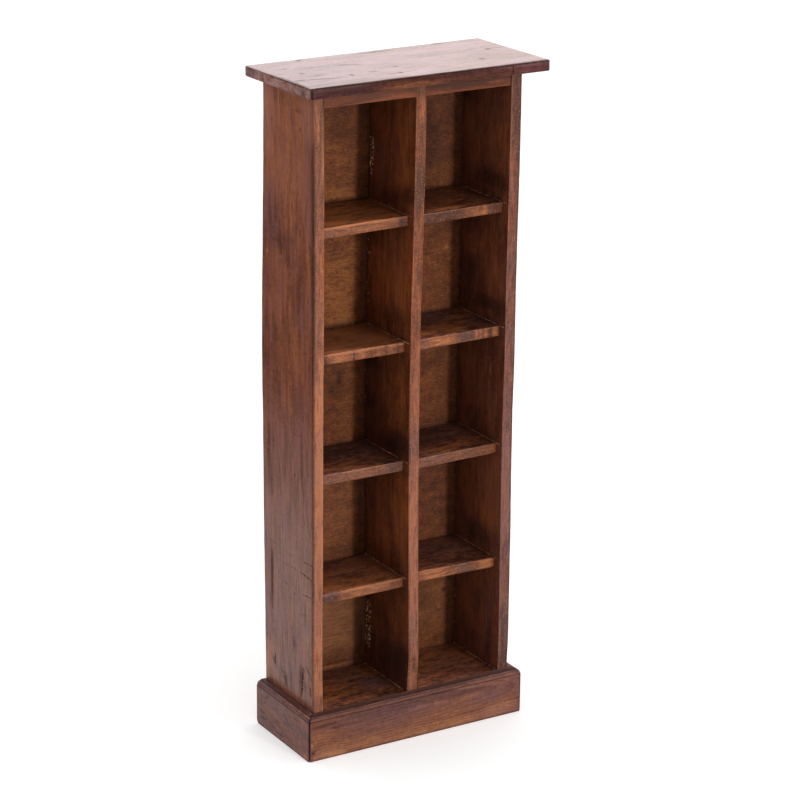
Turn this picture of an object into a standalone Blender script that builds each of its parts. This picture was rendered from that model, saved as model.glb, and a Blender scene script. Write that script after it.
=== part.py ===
# A slim wooden cd rack: a nailed case of two columns with five cubbies each,
# a thin back panel in grooves, an overhanging top board, and a moulded plinth
# mitred round the foot of the case.
# Units are metres. +Z is up, the front faces -Y, and the origin lies on the
# floor under the middle of the whole rack.

import bmesh
import bpy
from math import cos, pi, sin
from mathutils import Matrix, Vector

# Gap left between boards that touch, and how far a cutter runs past what it cuts
joint_gap = 0.0003
cut_overrun = 0.004

# Whole rack
rack_height = 1.000

# Case: its two sides run from the floor to the top board
case_width = 0.335
case_depth = 0.145
side_thickness = 0.017
side_arris = 0.0014

# Upright board that parts the two columns
divider_thickness = 0.017
divider_arris = 0.0012

# Top board, flush with the case at the rear
top_thickness = 0.0155
top_side_overhang = 0.0255
top_front_overhang = 0.0355
top_arris = 0.0022

# Rail under the top board, flush with the front edges of the sides
rail_height = 0.0205
rail_thickness = 0.017
rail_arris = 0.0010

# Shelves, set back from the front edges of the sides
shelf_thickness = 0.0155
shelf_setback = 0.015
shelf_arris = 0.0016
# Tops of the shelves, lowest first, as shares of the height from floor board to top board
shelf_level_shares = (0.194, 0.393, 0.589, 0.790)

# Floor board, whose top lies a little below the plinth's ledge
floor_thickness = 0.0155
floor_drop = 0.002

# Back panel, slid into grooves in the sides
back_thickness = 0.004
back_recess = 0.015
groove_depth = 0.006

# Plinth boards: a flat face, an ovolo moulding above it and a narrow ledge on top
plinth_height = 0.0685
plinth_thickness = 0.015
plinth_foot_arris = 0.0016
moulding_height = 0.0072
moulding_step = 0.0012
moulding_fillet = 0.0007
ledge_width = 0.0085

# Facets of a rounded arris and of the ovolo
arris_segments = 3
ovolo_segments = 8

# Planes and levels that several boards share
total_depth = case_depth + top_front_overhang
rear_plane = total_depth / 2
front_plane = rear_plane - case_depth
side_outer = case_width / 2
side_inner = side_outer - side_thickness
divider_face = divider_thickness / 2
case_top = rack_height - top_thickness - joint_gap
rail_bottom = case_top - rail_height
rail_rear = front_plane + rail_thickness
floor_top = plinth_height - floor_drop
floor_bottom = floor_top - floor_thickness
back_rear = rear_plane - back_recess
back_front = back_rear - back_thickness
fitted_rear = back_front - joint_gap

# Colour, roughness and metallic value of each finish
finishes = {
    "top_wood": ((0.300, 0.160, 0.130, 1.0), 0.34, 0.0),
    "side_wood": ((0.190, 0.070, 0.042, 1.0), 0.38, 0.0),
    "divider_wood": ((0.115, 0.040, 0.018, 1.0), 0.46, 0.0),
    "shelf_wood": ((0.170, 0.066, 0.030, 1.0), 0.44, 0.0),
    "back_ply": ((0.230, 0.115, 0.040, 1.0), 0.55, 0.0),
    "plinth_wood": ((0.200, 0.082, 0.052, 1.0), 0.40, 0.0),
}

# The words for the low and the high face of a board along X, Y and Z
face_words = (("left", "right"), ("front", "rear"), ("under", "upper"))


def clear_scene():
    for old in list(bpy.data.objects):
        bpy.data.objects.remove(old, do_unlink=True)


def new_collection(name):
    collection = bpy.data.collections.new(name)
    bpy.context.scene.collection.children.link(collection)
    return collection


def make_materials():
    materials = {}
    for name, (colour, roughness, metallic) in finishes.items():
        material = bpy.data.materials.new(name)
        material.use_nodes = True
        material.diffuse_color = colour
        shader = material.node_tree.nodes["Principled BSDF"]
        shader.inputs["Base Color"].default_value = colour
        shader.inputs["Roughness"].default_value = roughness
        shader.inputs["Metallic"].default_value = metallic
        materials[name] = material
    return materials


# A box between two corners, centred on its own origin and placed by its location
def add_box(name, low, high, collection):
    low, high = Vector(low), Vector(high)
    shape = bmesh.new()
    bmesh.ops.create_cube(shape, size=1.0)
    bmesh.ops.scale(shape, vec=high - low, verts=shape.verts)
    mesh = bpy.data.meshes.new(name)
    shape.to_mesh(mesh)
    shape.free()
    box = bpy.data.objects.new(name, mesh)
    box.location = (low + high) / 2
    collection.objects.link(box)
    return box


# The two faces that meet in an edge of a box, as words such as "front" and "upper"
def meeting_faces(mesh, edge):
    first, second = (mesh.vertices[index].co for index in edge.vertices)
    words = set()
    for axis, pair in enumerate(face_words):
        if first[axis] == second[axis]:
            words.add(pair[0] if first[axis] < 0 else pair[1])
    return words


# Rounds the named arrises, such as "front upper", and leaves the others sawn square
def ease_arrises(board, arrises, radius):
    wanted = [set(arris.split()) for arris in arrises]
    weights = board.data.attributes.new("bevel_weight_edge", "FLOAT", "EDGE")
    for edge in board.data.edges:
        eased = meeting_faces(board.data, edge) in wanted
        weights.data[edge.index].value = 1.0 if eased else 0.0
    bevel = board.modifiers.new("eased_arrises", "BEVEL")
    bevel.limit_method = "WEIGHT"
    bevel.width = radius
    bevel.segments = arris_segments


def add_board(name, low, high, material, collection, arrises=(), radius=0):
    board = add_box(name, low, high, collection)
    board.data.materials.append(material)
    if arrises:
        ease_arrises(board, arrises, radius)
    return board


# Cuts a box-shaped groove or notch out of a board
def cut_box(board, name, low, high, cutters):
    cutter = add_box(name, low, high, cutters)
    cutter.hide_render = True
    cutter.display_type = "WIRE"
    cut = board.modifiers.new(name, "BOOLEAN")
    cut.operation = "DIFFERENCE"
    cut.object = cutter


# Sides, each with a groove for the back panel in its inner face
def add_side(name, sign, material, parts, cutters):
    inner, outer = sign * side_inner, sign * side_outer
    side = add_board(
        name,
        (min(inner, outer), front_plane, 0),
        (max(inner, outer), rear_plane, case_top),
        material,
        parts,
        ("left front", "right front", "left rear", "right rear"),
        side_arris,
    )
    groove_floor = sign * (side_inner + groove_depth)
    groove_mouth = sign * (side_inner - cut_overrun)
    cut_box(
        side,
        name + "_groove",
        (min(groove_floor, groove_mouth), back_front - joint_gap, -cut_overrun),
        (max(groove_floor, groove_mouth), back_rear + joint_gap, case_top + cut_overrun),
        cutters,
    )


# Divider, standing on the floor board and notched round the top rail
def add_divider(material, parts, cutters):
    divider = add_board(
        "centre_divider",
        (-divider_face, front_plane, floor_top + joint_gap),
        (divider_face, fitted_rear, case_top),
        material,
        parts,
        ("left front", "right front"),
        divider_arris,
    )
    cut_box(
        divider,
        "divider_notch",
        (-divider_face - cut_overrun, front_plane - cut_overrun, rail_bottom - joint_gap),
        (divider_face + cut_overrun, rail_rear + joint_gap, case_top + cut_overrun),
        cutters,
    )


# Floor board and top rail, both fitted between the sides
def add_floor_board(material, parts):
    reach = side_inner - joint_gap
    low = (-reach, front_plane, floor_bottom)
    high = (reach, fitted_rear, floor_top)
    add_board("floor_board", low, high, material, parts)


def add_top_rail(material, parts):
    reach = side_inner - joint_gap
    low = (-reach, front_plane, rail_bottom)
    high = (reach, rail_rear, case_top)
    add_board("top_rail", low, high, material, parts, ("front under",), rail_arris)


# Shelves of one column, butted between its side and the divider
def add_shelves(column, sign, material, parts):
    at_divider = sign * (divider_face + joint_gap)
    at_side = sign * (side_inner - joint_gap)
    clear_height = rack_height - top_thickness - floor_top
    for number, share in enumerate(shelf_level_shares, start=1):
        level = floor_top + share * clear_height
        add_board(
            f"shelf_{column}_{number}",
            (min(at_divider, at_side), front_plane + shelf_setback, level - shelf_thickness),
            (max(at_divider, at_side), fitted_rear, level),
            material,
            parts,
            ("front under", "front upper"),
            shelf_arris,
        )


# Back panel, its edges in the grooves of the sides
def add_back(material, parts):
    reach = side_inner + groove_depth - joint_gap
    low = (-reach, back_front, floor_bottom)
    high = (reach, back_rear, case_top)
    add_board("back_panel", low, high, material, parts)


# Top board, eased all round but for its rear edges
def add_top_board(material, parts):
    reach = side_outer + top_side_overhang
    arrises = ["left front", "right front"]
    for edge in ("front", "left", "right"):
        arrises += [edge + " upper", edge + " under"]
    low = (-reach, front_plane - top_front_overhang, rack_height - top_thickness)
    high = (reach, rear_plane, rack_height)
    add_board("top_board", low, high, material, parts, arrises, top_arris)


# Points along a round arc, given its centre, its two radii and its two angles
def arc_points(centre, radii, start, end, segments):
    points = []
    for step in range(segments + 1):
        angle = start + (end - start) * step / segments
        points.append((centre[0] + radii[0] * cos(angle), centre[1] + radii[1] * sin(angle)))
    return points


# Section of a plinth board: distance out from the case, then height
def plinth_outline():
    shoulder = plinth_height - moulding_height
    ovolo_top = plinth_height - moulding_step
    ovolo_width = plinth_thickness - moulding_fillet - ledge_width
    foot_centre = (plinth_thickness - plinth_foot_arris, plinth_foot_arris)
    outline = [(joint_gap, 0)]
    outline += arc_points(foot_centre, (plinth_foot_arris, plinth_foot_arris), -pi / 2, 0, arris_segments)
    outline.append((plinth_thickness, shoulder))
    outline += arc_points(
        (ledge_width, shoulder), (ovolo_width, ovolo_top - shoulder), 0, pi / 2, ovolo_segments
    )
    outline += [(ledge_width, plinth_height), (joint_gap, plinth_height)]
    return outline


# The plinth section as a flat curve, extruded to a length and turned into a mesh
def plinth_moulding(name, length):
    curve = bpy.data.curves.new(name, "CURVE")
    curve.dimensions = "2D"
    curve.fill_mode = "BOTH"
    curve.extrude = length / 2
    outline = plinth_outline()
    spline = curve.splines.new("POLY")
    spline.points.add(len(outline) - 1)
    for point, (out, up) in zip(spline.points, outline):
        point.co = (out, up, 0, 1)
    spline.use_cyclic_u = True
    strip = bpy.data.objects.new(name, curve)
    bpy.context.scene.collection.objects.link(strip)
    evaluated = strip.evaluated_get(bpy.context.evaluated_depsgraph_get())
    mesh = bpy.data.meshes.new_from_object(evaluated)
    bpy.data.objects.remove(strip, do_unlink=True)
    bpy.data.curves.remove(curve)
    return mesh


# Cuts the moulding's end off at a plane and closes it; the normal points at the waste
def saw_off(mesh, point, normal):
    shape = bmesh.new()
    shape.from_mesh(mesh)
    bmesh.ops.remove_doubles(shape, verts=shape.verts, dist=joint_gap / 10)
    everything = shape.verts[:] + shape.edges[:] + shape.faces[:]
    cut = bmesh.ops.bisect_plane(shape, geom=everything, plane_co=point, plane_no=normal, clear_outer=True)
    rim = [item for item in cut["geom_cut"] if isinstance(item, bmesh.types.BMEdge)]
    bmesh.ops.contextual_create(shape, geom=rim)
    bmesh.ops.recalc_face_normals(shape, faces=shape.faces)
    shape.to_mesh(mesh)
    shape.free()


# A plinth board lying along the case: its section looks outwards, and each end
# is sawn off where a cut says, a cut being a point and a direction towards the waste
def add_plinth_board(name, outward, at_case, length, cuts, material, parts):
    up = Vector((0, 0, 1))
    along = outward.cross(up)
    turn = Matrix((outward, up, along)).transposed().to_4x4()
    mesh = plinth_moulding(name, length)
    mesh.name = name
    mesh.transform(turn)
    board = bpy.data.objects.new(name, mesh)
    board.location = at_case
    parts.objects.link(board)
    board.data.materials.append(material)
    for point, normal in cuts:
        saw_off(mesh, point - at_case, normal)


# Plinth: a front board and two side boards that meet in mitres at the front corners
def add_plinth(material, parts):
    front = Vector((0, -1, 0))
    front_length = case_width + 2 * (plinth_thickness + cut_overrun)
    side_length = case_depth + plinth_thickness + cut_overrun
    side_middle = rear_plane - side_length / 2
    front_cuts = []
    for name, sign in (("plinth_left", -1), ("plinth_right", 1)):
        outward = Vector((sign, 0, 0))
        corner = Vector((sign * side_outer, front_plane, 0))
        front_waste = (outward - front).normalized()
        half_gap = front_waste * joint_gap / 2
        front_cuts.append((corner - half_gap, front_waste))
        at_case = Vector((sign * side_outer, side_middle, 0))
        side_cuts = [(corner + half_gap, -front_waste)]
        add_plinth_board(name, outward, at_case, side_length, side_cuts, material, parts)
    at_case = Vector((0, front_plane, 0))
    add_plinth_board("plinth_front", front, at_case, front_length, front_cuts, material, parts)


def build_rack():
    clear_scene()
    parts = new_collection("cd_rack")
    cutters = new_collection("cutters")
    wood = make_materials()

    add_side("left_side", -1, wood["side_wood"], parts, cutters)
    add_side("right_side", 1, wood["side_wood"], parts, cutters)
    add_divider(wood["divider_wood"], parts, cutters)
    add_floor_board(wood["shelf_wood"], parts)
    add_shelves("left", -1, wood["shelf_wood"], parts)
    add_shelves("right", 1, wood["shelf_wood"], parts)
    add_back(wood["back_ply"], parts)
    add_top_rail(wood["side_wood"], parts)
    add_top_board(wood["top_wood"], parts)
    add_plinth(wood["plinth_wood"], parts)


build_rack()
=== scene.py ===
# The cd rack as it looks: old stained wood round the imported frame. Lengths are metres, but strokes, scratches
# and moulding lines are listed in millimetres, with their strength in hundredths.
import math

import bmesh
import bpy
import numpy as np
from mathutils import Matrix, Vector


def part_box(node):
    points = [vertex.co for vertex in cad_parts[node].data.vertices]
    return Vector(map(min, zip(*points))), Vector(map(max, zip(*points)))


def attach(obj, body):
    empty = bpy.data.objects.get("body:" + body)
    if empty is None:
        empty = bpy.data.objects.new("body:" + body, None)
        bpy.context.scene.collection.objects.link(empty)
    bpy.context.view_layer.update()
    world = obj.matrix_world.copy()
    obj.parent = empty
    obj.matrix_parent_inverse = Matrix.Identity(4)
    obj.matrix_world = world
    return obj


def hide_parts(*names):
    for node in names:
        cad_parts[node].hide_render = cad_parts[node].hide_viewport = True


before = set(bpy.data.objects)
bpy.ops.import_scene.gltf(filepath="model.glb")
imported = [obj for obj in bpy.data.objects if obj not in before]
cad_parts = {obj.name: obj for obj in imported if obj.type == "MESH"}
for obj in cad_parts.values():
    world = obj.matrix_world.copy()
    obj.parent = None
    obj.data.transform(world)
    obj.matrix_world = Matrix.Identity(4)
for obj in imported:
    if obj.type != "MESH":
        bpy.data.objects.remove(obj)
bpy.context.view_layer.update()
print("frame loaded:", len(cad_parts), "boards")

# the planes that the boards share, all read from the frame
caseLow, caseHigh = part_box("left_side")[0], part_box("right_side")[1]
innerLeft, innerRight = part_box("left_side")[1].x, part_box("right_side")[0].x
dividerLow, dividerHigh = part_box("centre_divider")
frontPlane, rearPlane, caseTop = caseLow.y, caseHigh.y, caseHigh.z
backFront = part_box("back_panel")[0].y
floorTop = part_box("floor_board")[1].z
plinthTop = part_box("plinth_front")[1].z
perMetre, perFull = 1000, 100

viewSettings = {
    "azimuth": -30.991, "elevation": 18.466, "roll": 0.598,  # degrees
    "distance": 4.0892, "aside": -0.02207, "above": 0.02074, "aimHeight": 0.5, "lens": 128.405, "sensor": 36,
}
lightSettings = {
    "sky": (1, 1, 1, 1), "skyStrength": 1, "floorSize": 60, "floorColour": (0.95, 0.95, 0.95, 1),
    "floorRoughness": 0.9, "glowColour": (1, 1, 1, 1), "floorGlow": 0.2,
    "softboxes": {  # azimuth, elevation, distance, width, height, watts, height of the aim
        "frontLamp": (9.5, 2, 4.5, 0.26, 0.26, 108, 0.5),
        "rightSoftbox": (75, 43, 3.2, 0.8, 0.8, 190, 0.5),
        "upperSoftbox": (20, 40, 3.2, 1, 1, 32, 0.5),
        "backSoftbox": (149, 18.5, 3.4, 3, 1.6, 2.4, 1),
    },
    "sparesFloor": ("rightSoftbox", "upperSoftbox"),
}


def rgb(red, green, blue):  # a colour given in screen values, 0 to 255, as linear values
    channels = [value / 255 for value in (red, green, blue)]
    return (*(c / 12.92 if c <= 0.04045 else ((c + 0.055) / 1.055) ** 2.4 for c in channels), 1)


def direction(azimuth, elevation):  # 0 looks along +Y, so the vector points from the rack to the viewer
    turn, rise = math.radians(azimuth), math.radians(elevation)
    return Vector((math.sin(turn) * math.cos(rise), -math.cos(turn) * math.cos(rise), math.sin(rise)))


def keyOf(socketName):  # the settings for a socket such as Ring Spacing stand under ringSpacing
    return socketName[0].lower() + socketName[1:].replace(" ", "")


# builds node trees with less typing
class NodeBench:
    def __init__(self, tree):
        self.tree = tree

    def add(self, kind, inputs=None, **settings):
        node = self.tree.nodes.new(kind)
        for name, value in settings.items():
            setattr(node, name, value)
        for key, value in (inputs or {}).items():
            self.feed(node.inputs[key], value)
        return node

    def feed(self, socket, value):
        if isinstance(value, bpy.types.NodeSocket):
            self.tree.links.new(value, socket)
        else:
            socket.default_value = value

    def math(self, operation, first, second=0, third=0, clamp=False):
        inputs = {0: first, 1: second, 2: third}
        return self.add("ShaderNodeMath", inputs, operation=operation, use_clamp=clamp).outputs[0]

    def times(self, first, second, clamp=False):
        return self.math("MULTIPLY", first, second, clamp=clamp)

    def timesPlus(self, first, second, third, clamp=False):
        return self.math("MULTIPLY_ADD", first, second, third, clamp)

    def vector(self, operation, first, second=(0, 0, 0)):
        node = self.add("ShaderNodeVectorMath", {0: first, 1: second}, operation=operation)
        return node.outputs[1 if operation in ("LENGTH", "DISTANCE", "DOT_PRODUCT") else 0]

    def scaled(self, vector, factor):
        return self.add("ShaderNodeVectorMath", {0: vector, "Scale": factor}, operation="SCALE").outputs[0]

    def mix(self, factor, first, second, blend="MIX"):
        inputs = {0: factor, 6: first, 7: second}
        return self.add("ShaderNodeMix", inputs, data_type="RGBA", blend_type=blend).outputs[2]

    def span(self, value, fromLow, fromHigh, toLow=0, toHigh=1, shape="LINEAR"):
        inputs = {0: value, 1: fromLow, 2: fromHigh, 3: toLow, 4: toHigh}
        return self.add("ShaderNodeMapRange", inputs, interpolation_type=shape).outputs[0]

    def ease(self, *rangeValues):  # a span with soft ends
        return self.span(*rangeValues, shape="SMOOTHSTEP")

    def noise(self, vector, scale, detail, roughness=0.5):
        inputs = {"Vector": vector, "Scale": scale, "Detail": detail, "Roughness": roughness}
        return self.add("ShaderNodeTexNoise", inputs).outputs["Fac"]

    def named(self, name, kind):  # an attribute of the mesh
        node = self.add("GeometryNodeInputNamedAttribute", {"Name": name}, data_type=kind)
        return node.outputs["Attribute"]

    def random(self, kind, low, high, seed):
        first, output = (2, 1) if kind == "FLOAT" else (0, 0)
        inputs = {first: low, first + 1: high, "Seed": seed}
        return self.add("FunctionNodeRandomValue", inputs, data_type=kind).outputs[output]


def newGroup(name, kind, inputs, outputs):  # sockets are listed under their kind
    group = bpy.data.node_groups.new(name, kind)
    for inOut, sockets in (("INPUT", inputs), ("OUTPUT", outputs)):
        for socketKind, names in sockets.items():
            for socketName in names.split(", "):
                group.interface.new_socket(socketName, in_out=inOut, socket_type="NodeSocket" + socketKind)
    given, result = group.nodes.new("NodeGroupInput").outputs, group.nodes.new("NodeGroupOutput").inputs
    return NodeBench(group), given, result


# growth rings, patches, streaks, lines and pores of a board whose grain runs along Z
def makeFigureGroup():
    bench, given, result = newGroup("woodFigure", "ShaderNodeTree", {
        "Vector": "Vector",
        "Float": "Ring Spacing, Ring Wander, Blotch Width, Blotch Length, Streak Width, Streak Length, "
                 "Fibre Width, Fibre Length",
    }, {"Float": "Rings, Patches, Blotches, Streaks, Fibres, Lines, Pores, Grit"})
    place = given["Vector"]
    swayCells, wanderCells = (1 / 0.3, 1 / 0.3, 1 / 0.11), (1 / 0.045, 1 / 0.045, 1 / 0.3)
    sway = bench.noise(bench.vector("MULTIPLY", place, swayCells), 1, 1)
    swayed = bench.vector("ADD", place, bench.scaled((1, 0.6, 0), bench.times(sway, 0.02)))
    wander = bench.noise(bench.vector("MULTIPLY", swayed, wanderCells), 1, 3, 0.55)
    radius = bench.vector("LENGTH", bench.vector("MULTIPLY", swayed, (1, 1, 0)))
    phase = bench.math("DIVIDE", bench.timesPlus(wander, given["Ring Wander"], radius), given["Ring Spacing"])
    saw = bench.math("FRACT", phase)
    ring = bench.times(bench.math("POWER", saw, 2.2), bench.ease(saw, 0.86, 1, 1, 0))
    ringSeed = bench.add("ShaderNodeTexWhiteNoise", {"W": bench.math("FLOOR", phase)}, noise_dimensions="1D")
    bench.feed(result["Rings"], bench.times(ring, bench.span(ringSeed.outputs["Value"], 0, 1, 0.35, 1)))

    # cell across the grain, its share, cell along it, its share; detail, roughness, low end, high end, shift
    layers = {
        "Patches": ("Blotch Width", 1.7, "Blotch Length", 1.3, 2, 0.5, 0.32, 0.68, 17.3),
        "Blotches": ("Blotch Width", 1, "Blotch Length", 1, 2.5, 0.5, 0.28, 0.72, 0),
        "Streaks": ("Streak Width", 1, "Streak Length", 1, 3, 0.5, 0.28, 0.72, 5.1),
        "Lines": ("Streak Width", 0.45, "Streak Length", 1, 2, 0.5, 0.6, 0.72, 9.7),
        "Fibres": ("Fibre Width", 1, "Fibre Length", 1, 2, 0.6, 0.3, 0.7, 3.3),
        "Pores": ("Fibre Width", 0.8, "Fibre Length", 1, 1, 0.5, 0.62, 0.74, 7.9),
        "Grit": ("Fibre Width", 1.3, "Fibre Width", 3.5, 2, 0.6, 0.3, 0.7, 11.3),
    }
    masks = {}
    for name, (width, wide, length, long, detail, roughness, low, high, shift) in layers.items():
        across = bench.math("DIVIDE", 1, bench.times(given[width], wide))
        along = bench.math("DIVIDE", 1, bench.times(given[length], long))
        cells = bench.add("ShaderNodeCombineXYZ", {0: across, 1: across, 2: along}).outputs[0]
        moved = bench.vector("ADD", bench.vector("MULTIPLY", swayed, cells), (shift, shift, shift))
        masks[name] = bench.span(bench.noise(moved, 1, detail, roughness), low, high)
    clustered = bench.ease(masks["Patches"], 0.3, 0.8, 0.3, 1.2)
    masks["Lines"] = bench.times(masks["Lines"], clustered, clamp=True)
    for name, mask in masks.items():
        bench.feed(result[name], mask)
    return bench.tree


# four stains from deep to pale, picked by tone, with a purple-brown bloom laid over
def makeRampGroup():
    inputs = {"Float": "Tone, Bloom", "Color": "Deep, Dark, Light, Pale, Bloom Colour"}
    bench, given, result = newGroup("stainRamp", "ShaderNodeTree", inputs, {"Color": "Colour"})
    tone, colour = given["Tone"], given["Deep"]
    for low, high, name in ((0, 0.35, "Dark"), (0.35, 0.65, "Light"), (0.65, 1, "Pale")):
        colour = bench.mix(bench.span(tone, low, high), colour, given[name])
    bloomed = bench.mix(bench.span(tone, 0.2, 0.9, 0.35, 1.3), (0, 0, 0, 1), given["Bloom Colour"])
    bench.feed(result["Colour"], bench.mix(given["Bloom"], colour, bloomed))
    return bench.tree


# where an arris is rubbed through, and where a cubby's inside corners are darkened with grime and painted shade
def makeAgeAndShadeGroup():
    bench, given, result = newGroup("handAndAge", "ShaderNodeTree", {
        "Vector": "Vector", "Float": "Arris Distance, Corner Distance, Wear Width, Grime Width",
    }, {"Float": "Wear, Grime, Speckle, Mottle, Saw Marks"})
    place = given["Vector"]
    blotch = bench.noise(place, 60, 3, 0.6)
    for name, distance, least, most, full in (("Wear", "Arris Distance", 0.2, 1.8, 0.35),
                                              ("Grime", "Corner Distance", 0.5, 1.6, 0)):
        reach = bench.times(given[name + " Width"], bench.span(blotch, 0.25, 0.75, least, most))
        bench.feed(result[name], bench.ease(bench.math("DIVIDE", given[distance], reach), full, 1, 1, 0))
    bench.feed(result["Speckle"], bench.ease(bench.noise(place, 420, 2, 0.7), 0.52, 0.68))
    bench.feed(result["Mottle"], bench.span(bench.noise(place, 130, 4, 0.65), 0.3, 0.7))
    tilted = bench.add("ShaderNodeMapping", {"Vector": place, "Rotation": (0.05, 0, 0)}).outputs[0]
    rows = bench.noise(bench.vector("MULTIPLY", tilted, (1, 12, 420)), 1, 1, 0.4)
    dashes = bench.noise(bench.vector("MULTIPLY", tilted, (1, 150, 90)), 1, 2)
    bench.feed(result["Saw Marks"], bench.times(bench.ease(rows, 0.66, 0.76), bench.ease(dashes, 0.42, 0.62)))
    return bench.tree


# a thin scratch or crack between two points, ragged and broken here and there
def makeScratchGroup():
    inputs = {"Vector": "Vector, Start, End", "Float": "Width"}
    bench, given, result = newGroup("scratch", "ShaderNodeTree", inputs, {"Float": "Mask"})
    place, start, width = given["Vector"], given["Start"], given["Width"]
    line, away = bench.vector("SUBTRACT", given["End"], start), bench.vector("SUBTRACT", place, start)
    lengthSquared = bench.vector("DOT_PRODUCT", line, line)
    share = bench.math("DIVIDE", bench.vector("DOT_PRODUCT", away, line), lengthSquared, clamp=True)
    gap = bench.vector("DISTANCE", away, bench.scaled(line, share))
    ragged = bench.math("SUBTRACT", bench.noise(place, 330, 2, 0.6), 0.5)
    gap = bench.timesPlus(ragged, bench.times(width, 1.6), gap)
    ends = bench.times(bench.times(share, 4), bench.math("SUBTRACT", 1, share))
    reach = bench.times(width, bench.timesPlus(ends, 0.6, 0.5))
    mask = bench.ease(bench.math("DIVIDE", gap, reach), 0.5, 1.1, 1, 0)
    broken = bench.ease(bench.noise(place, 210, 2), 0.36, 0.52, 0.25, 1)
    bench.feed(result["Mask"], bench.times(mask, broken))
    return bench.tree


figureGroup = makeFigureGroup()
scratchGroup = makeScratchGroup()
rampGroup = makeRampGroup()
ageAndShadeGroup = makeAgeAndShadeGroup()

# a stained board as it is by default, with colours from 0 to 255; each face of a board changes what it needs
plainStain = dict(
    grain=(0.02, 0.03, 1), pith=(0.12, 0.1, 0.5), tint=(1, 1, 1), deep=(44, 21, 14), dark=(72, 37, 23),
    light=(98, 52, 31), pale=(134, 78, 47), bloomColour=(84, 50, 46), bloom=0.2, tone=0.5,
    ringAmount=-0.15, blotchAmount=0.25, streakAmount=0.22, fibreAmount=0.16, mottleAmount=0.12,
    poreAmount=0.2, lineAmount=0.18, gritAmount=0.12, ringSpacing=0.011, ringWander=0.05,
    blotchWidth=0.015, blotchLength=0.1, streakWidth=0.0045, streakLength=0.07, fibreWidth=0.0011,
    fibreLength=0.025, worn=(138, 82, 50), wearWidth=0.0018, wearAmount=0.25, grime=(22, 11, 8),
    grimeWidth=0.008, grimeAmount=0.35, speckle=(60, 32, 22), speckleAmount=0, sawAmount=0, roughness=0.42,
    gloss=0.12, varnish=0, varnishFoot=None, varnishFade=(0.3, 0.7), coatIor=1.5, coatGrit=0.2, bump=0.3,
    scratches=(),
    # the same on every face: how strokes break up, and how pores, gloss, bump and varnish vary
    ringMiddle=0.2, strokeBreak=(0.9, 0.55), poreColour=(0.3, 0.24, 0.22, 1), roughSpread=0.12,
    bumpDepth=0.0006, coatRoughness=0.25, coatBreak=(0.4, 0.8), coatLoss=0.95,
)
stainColours = ("deep", "dark", "light", "pale", "bloomColour", "worn", "grime", "speckle")


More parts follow.
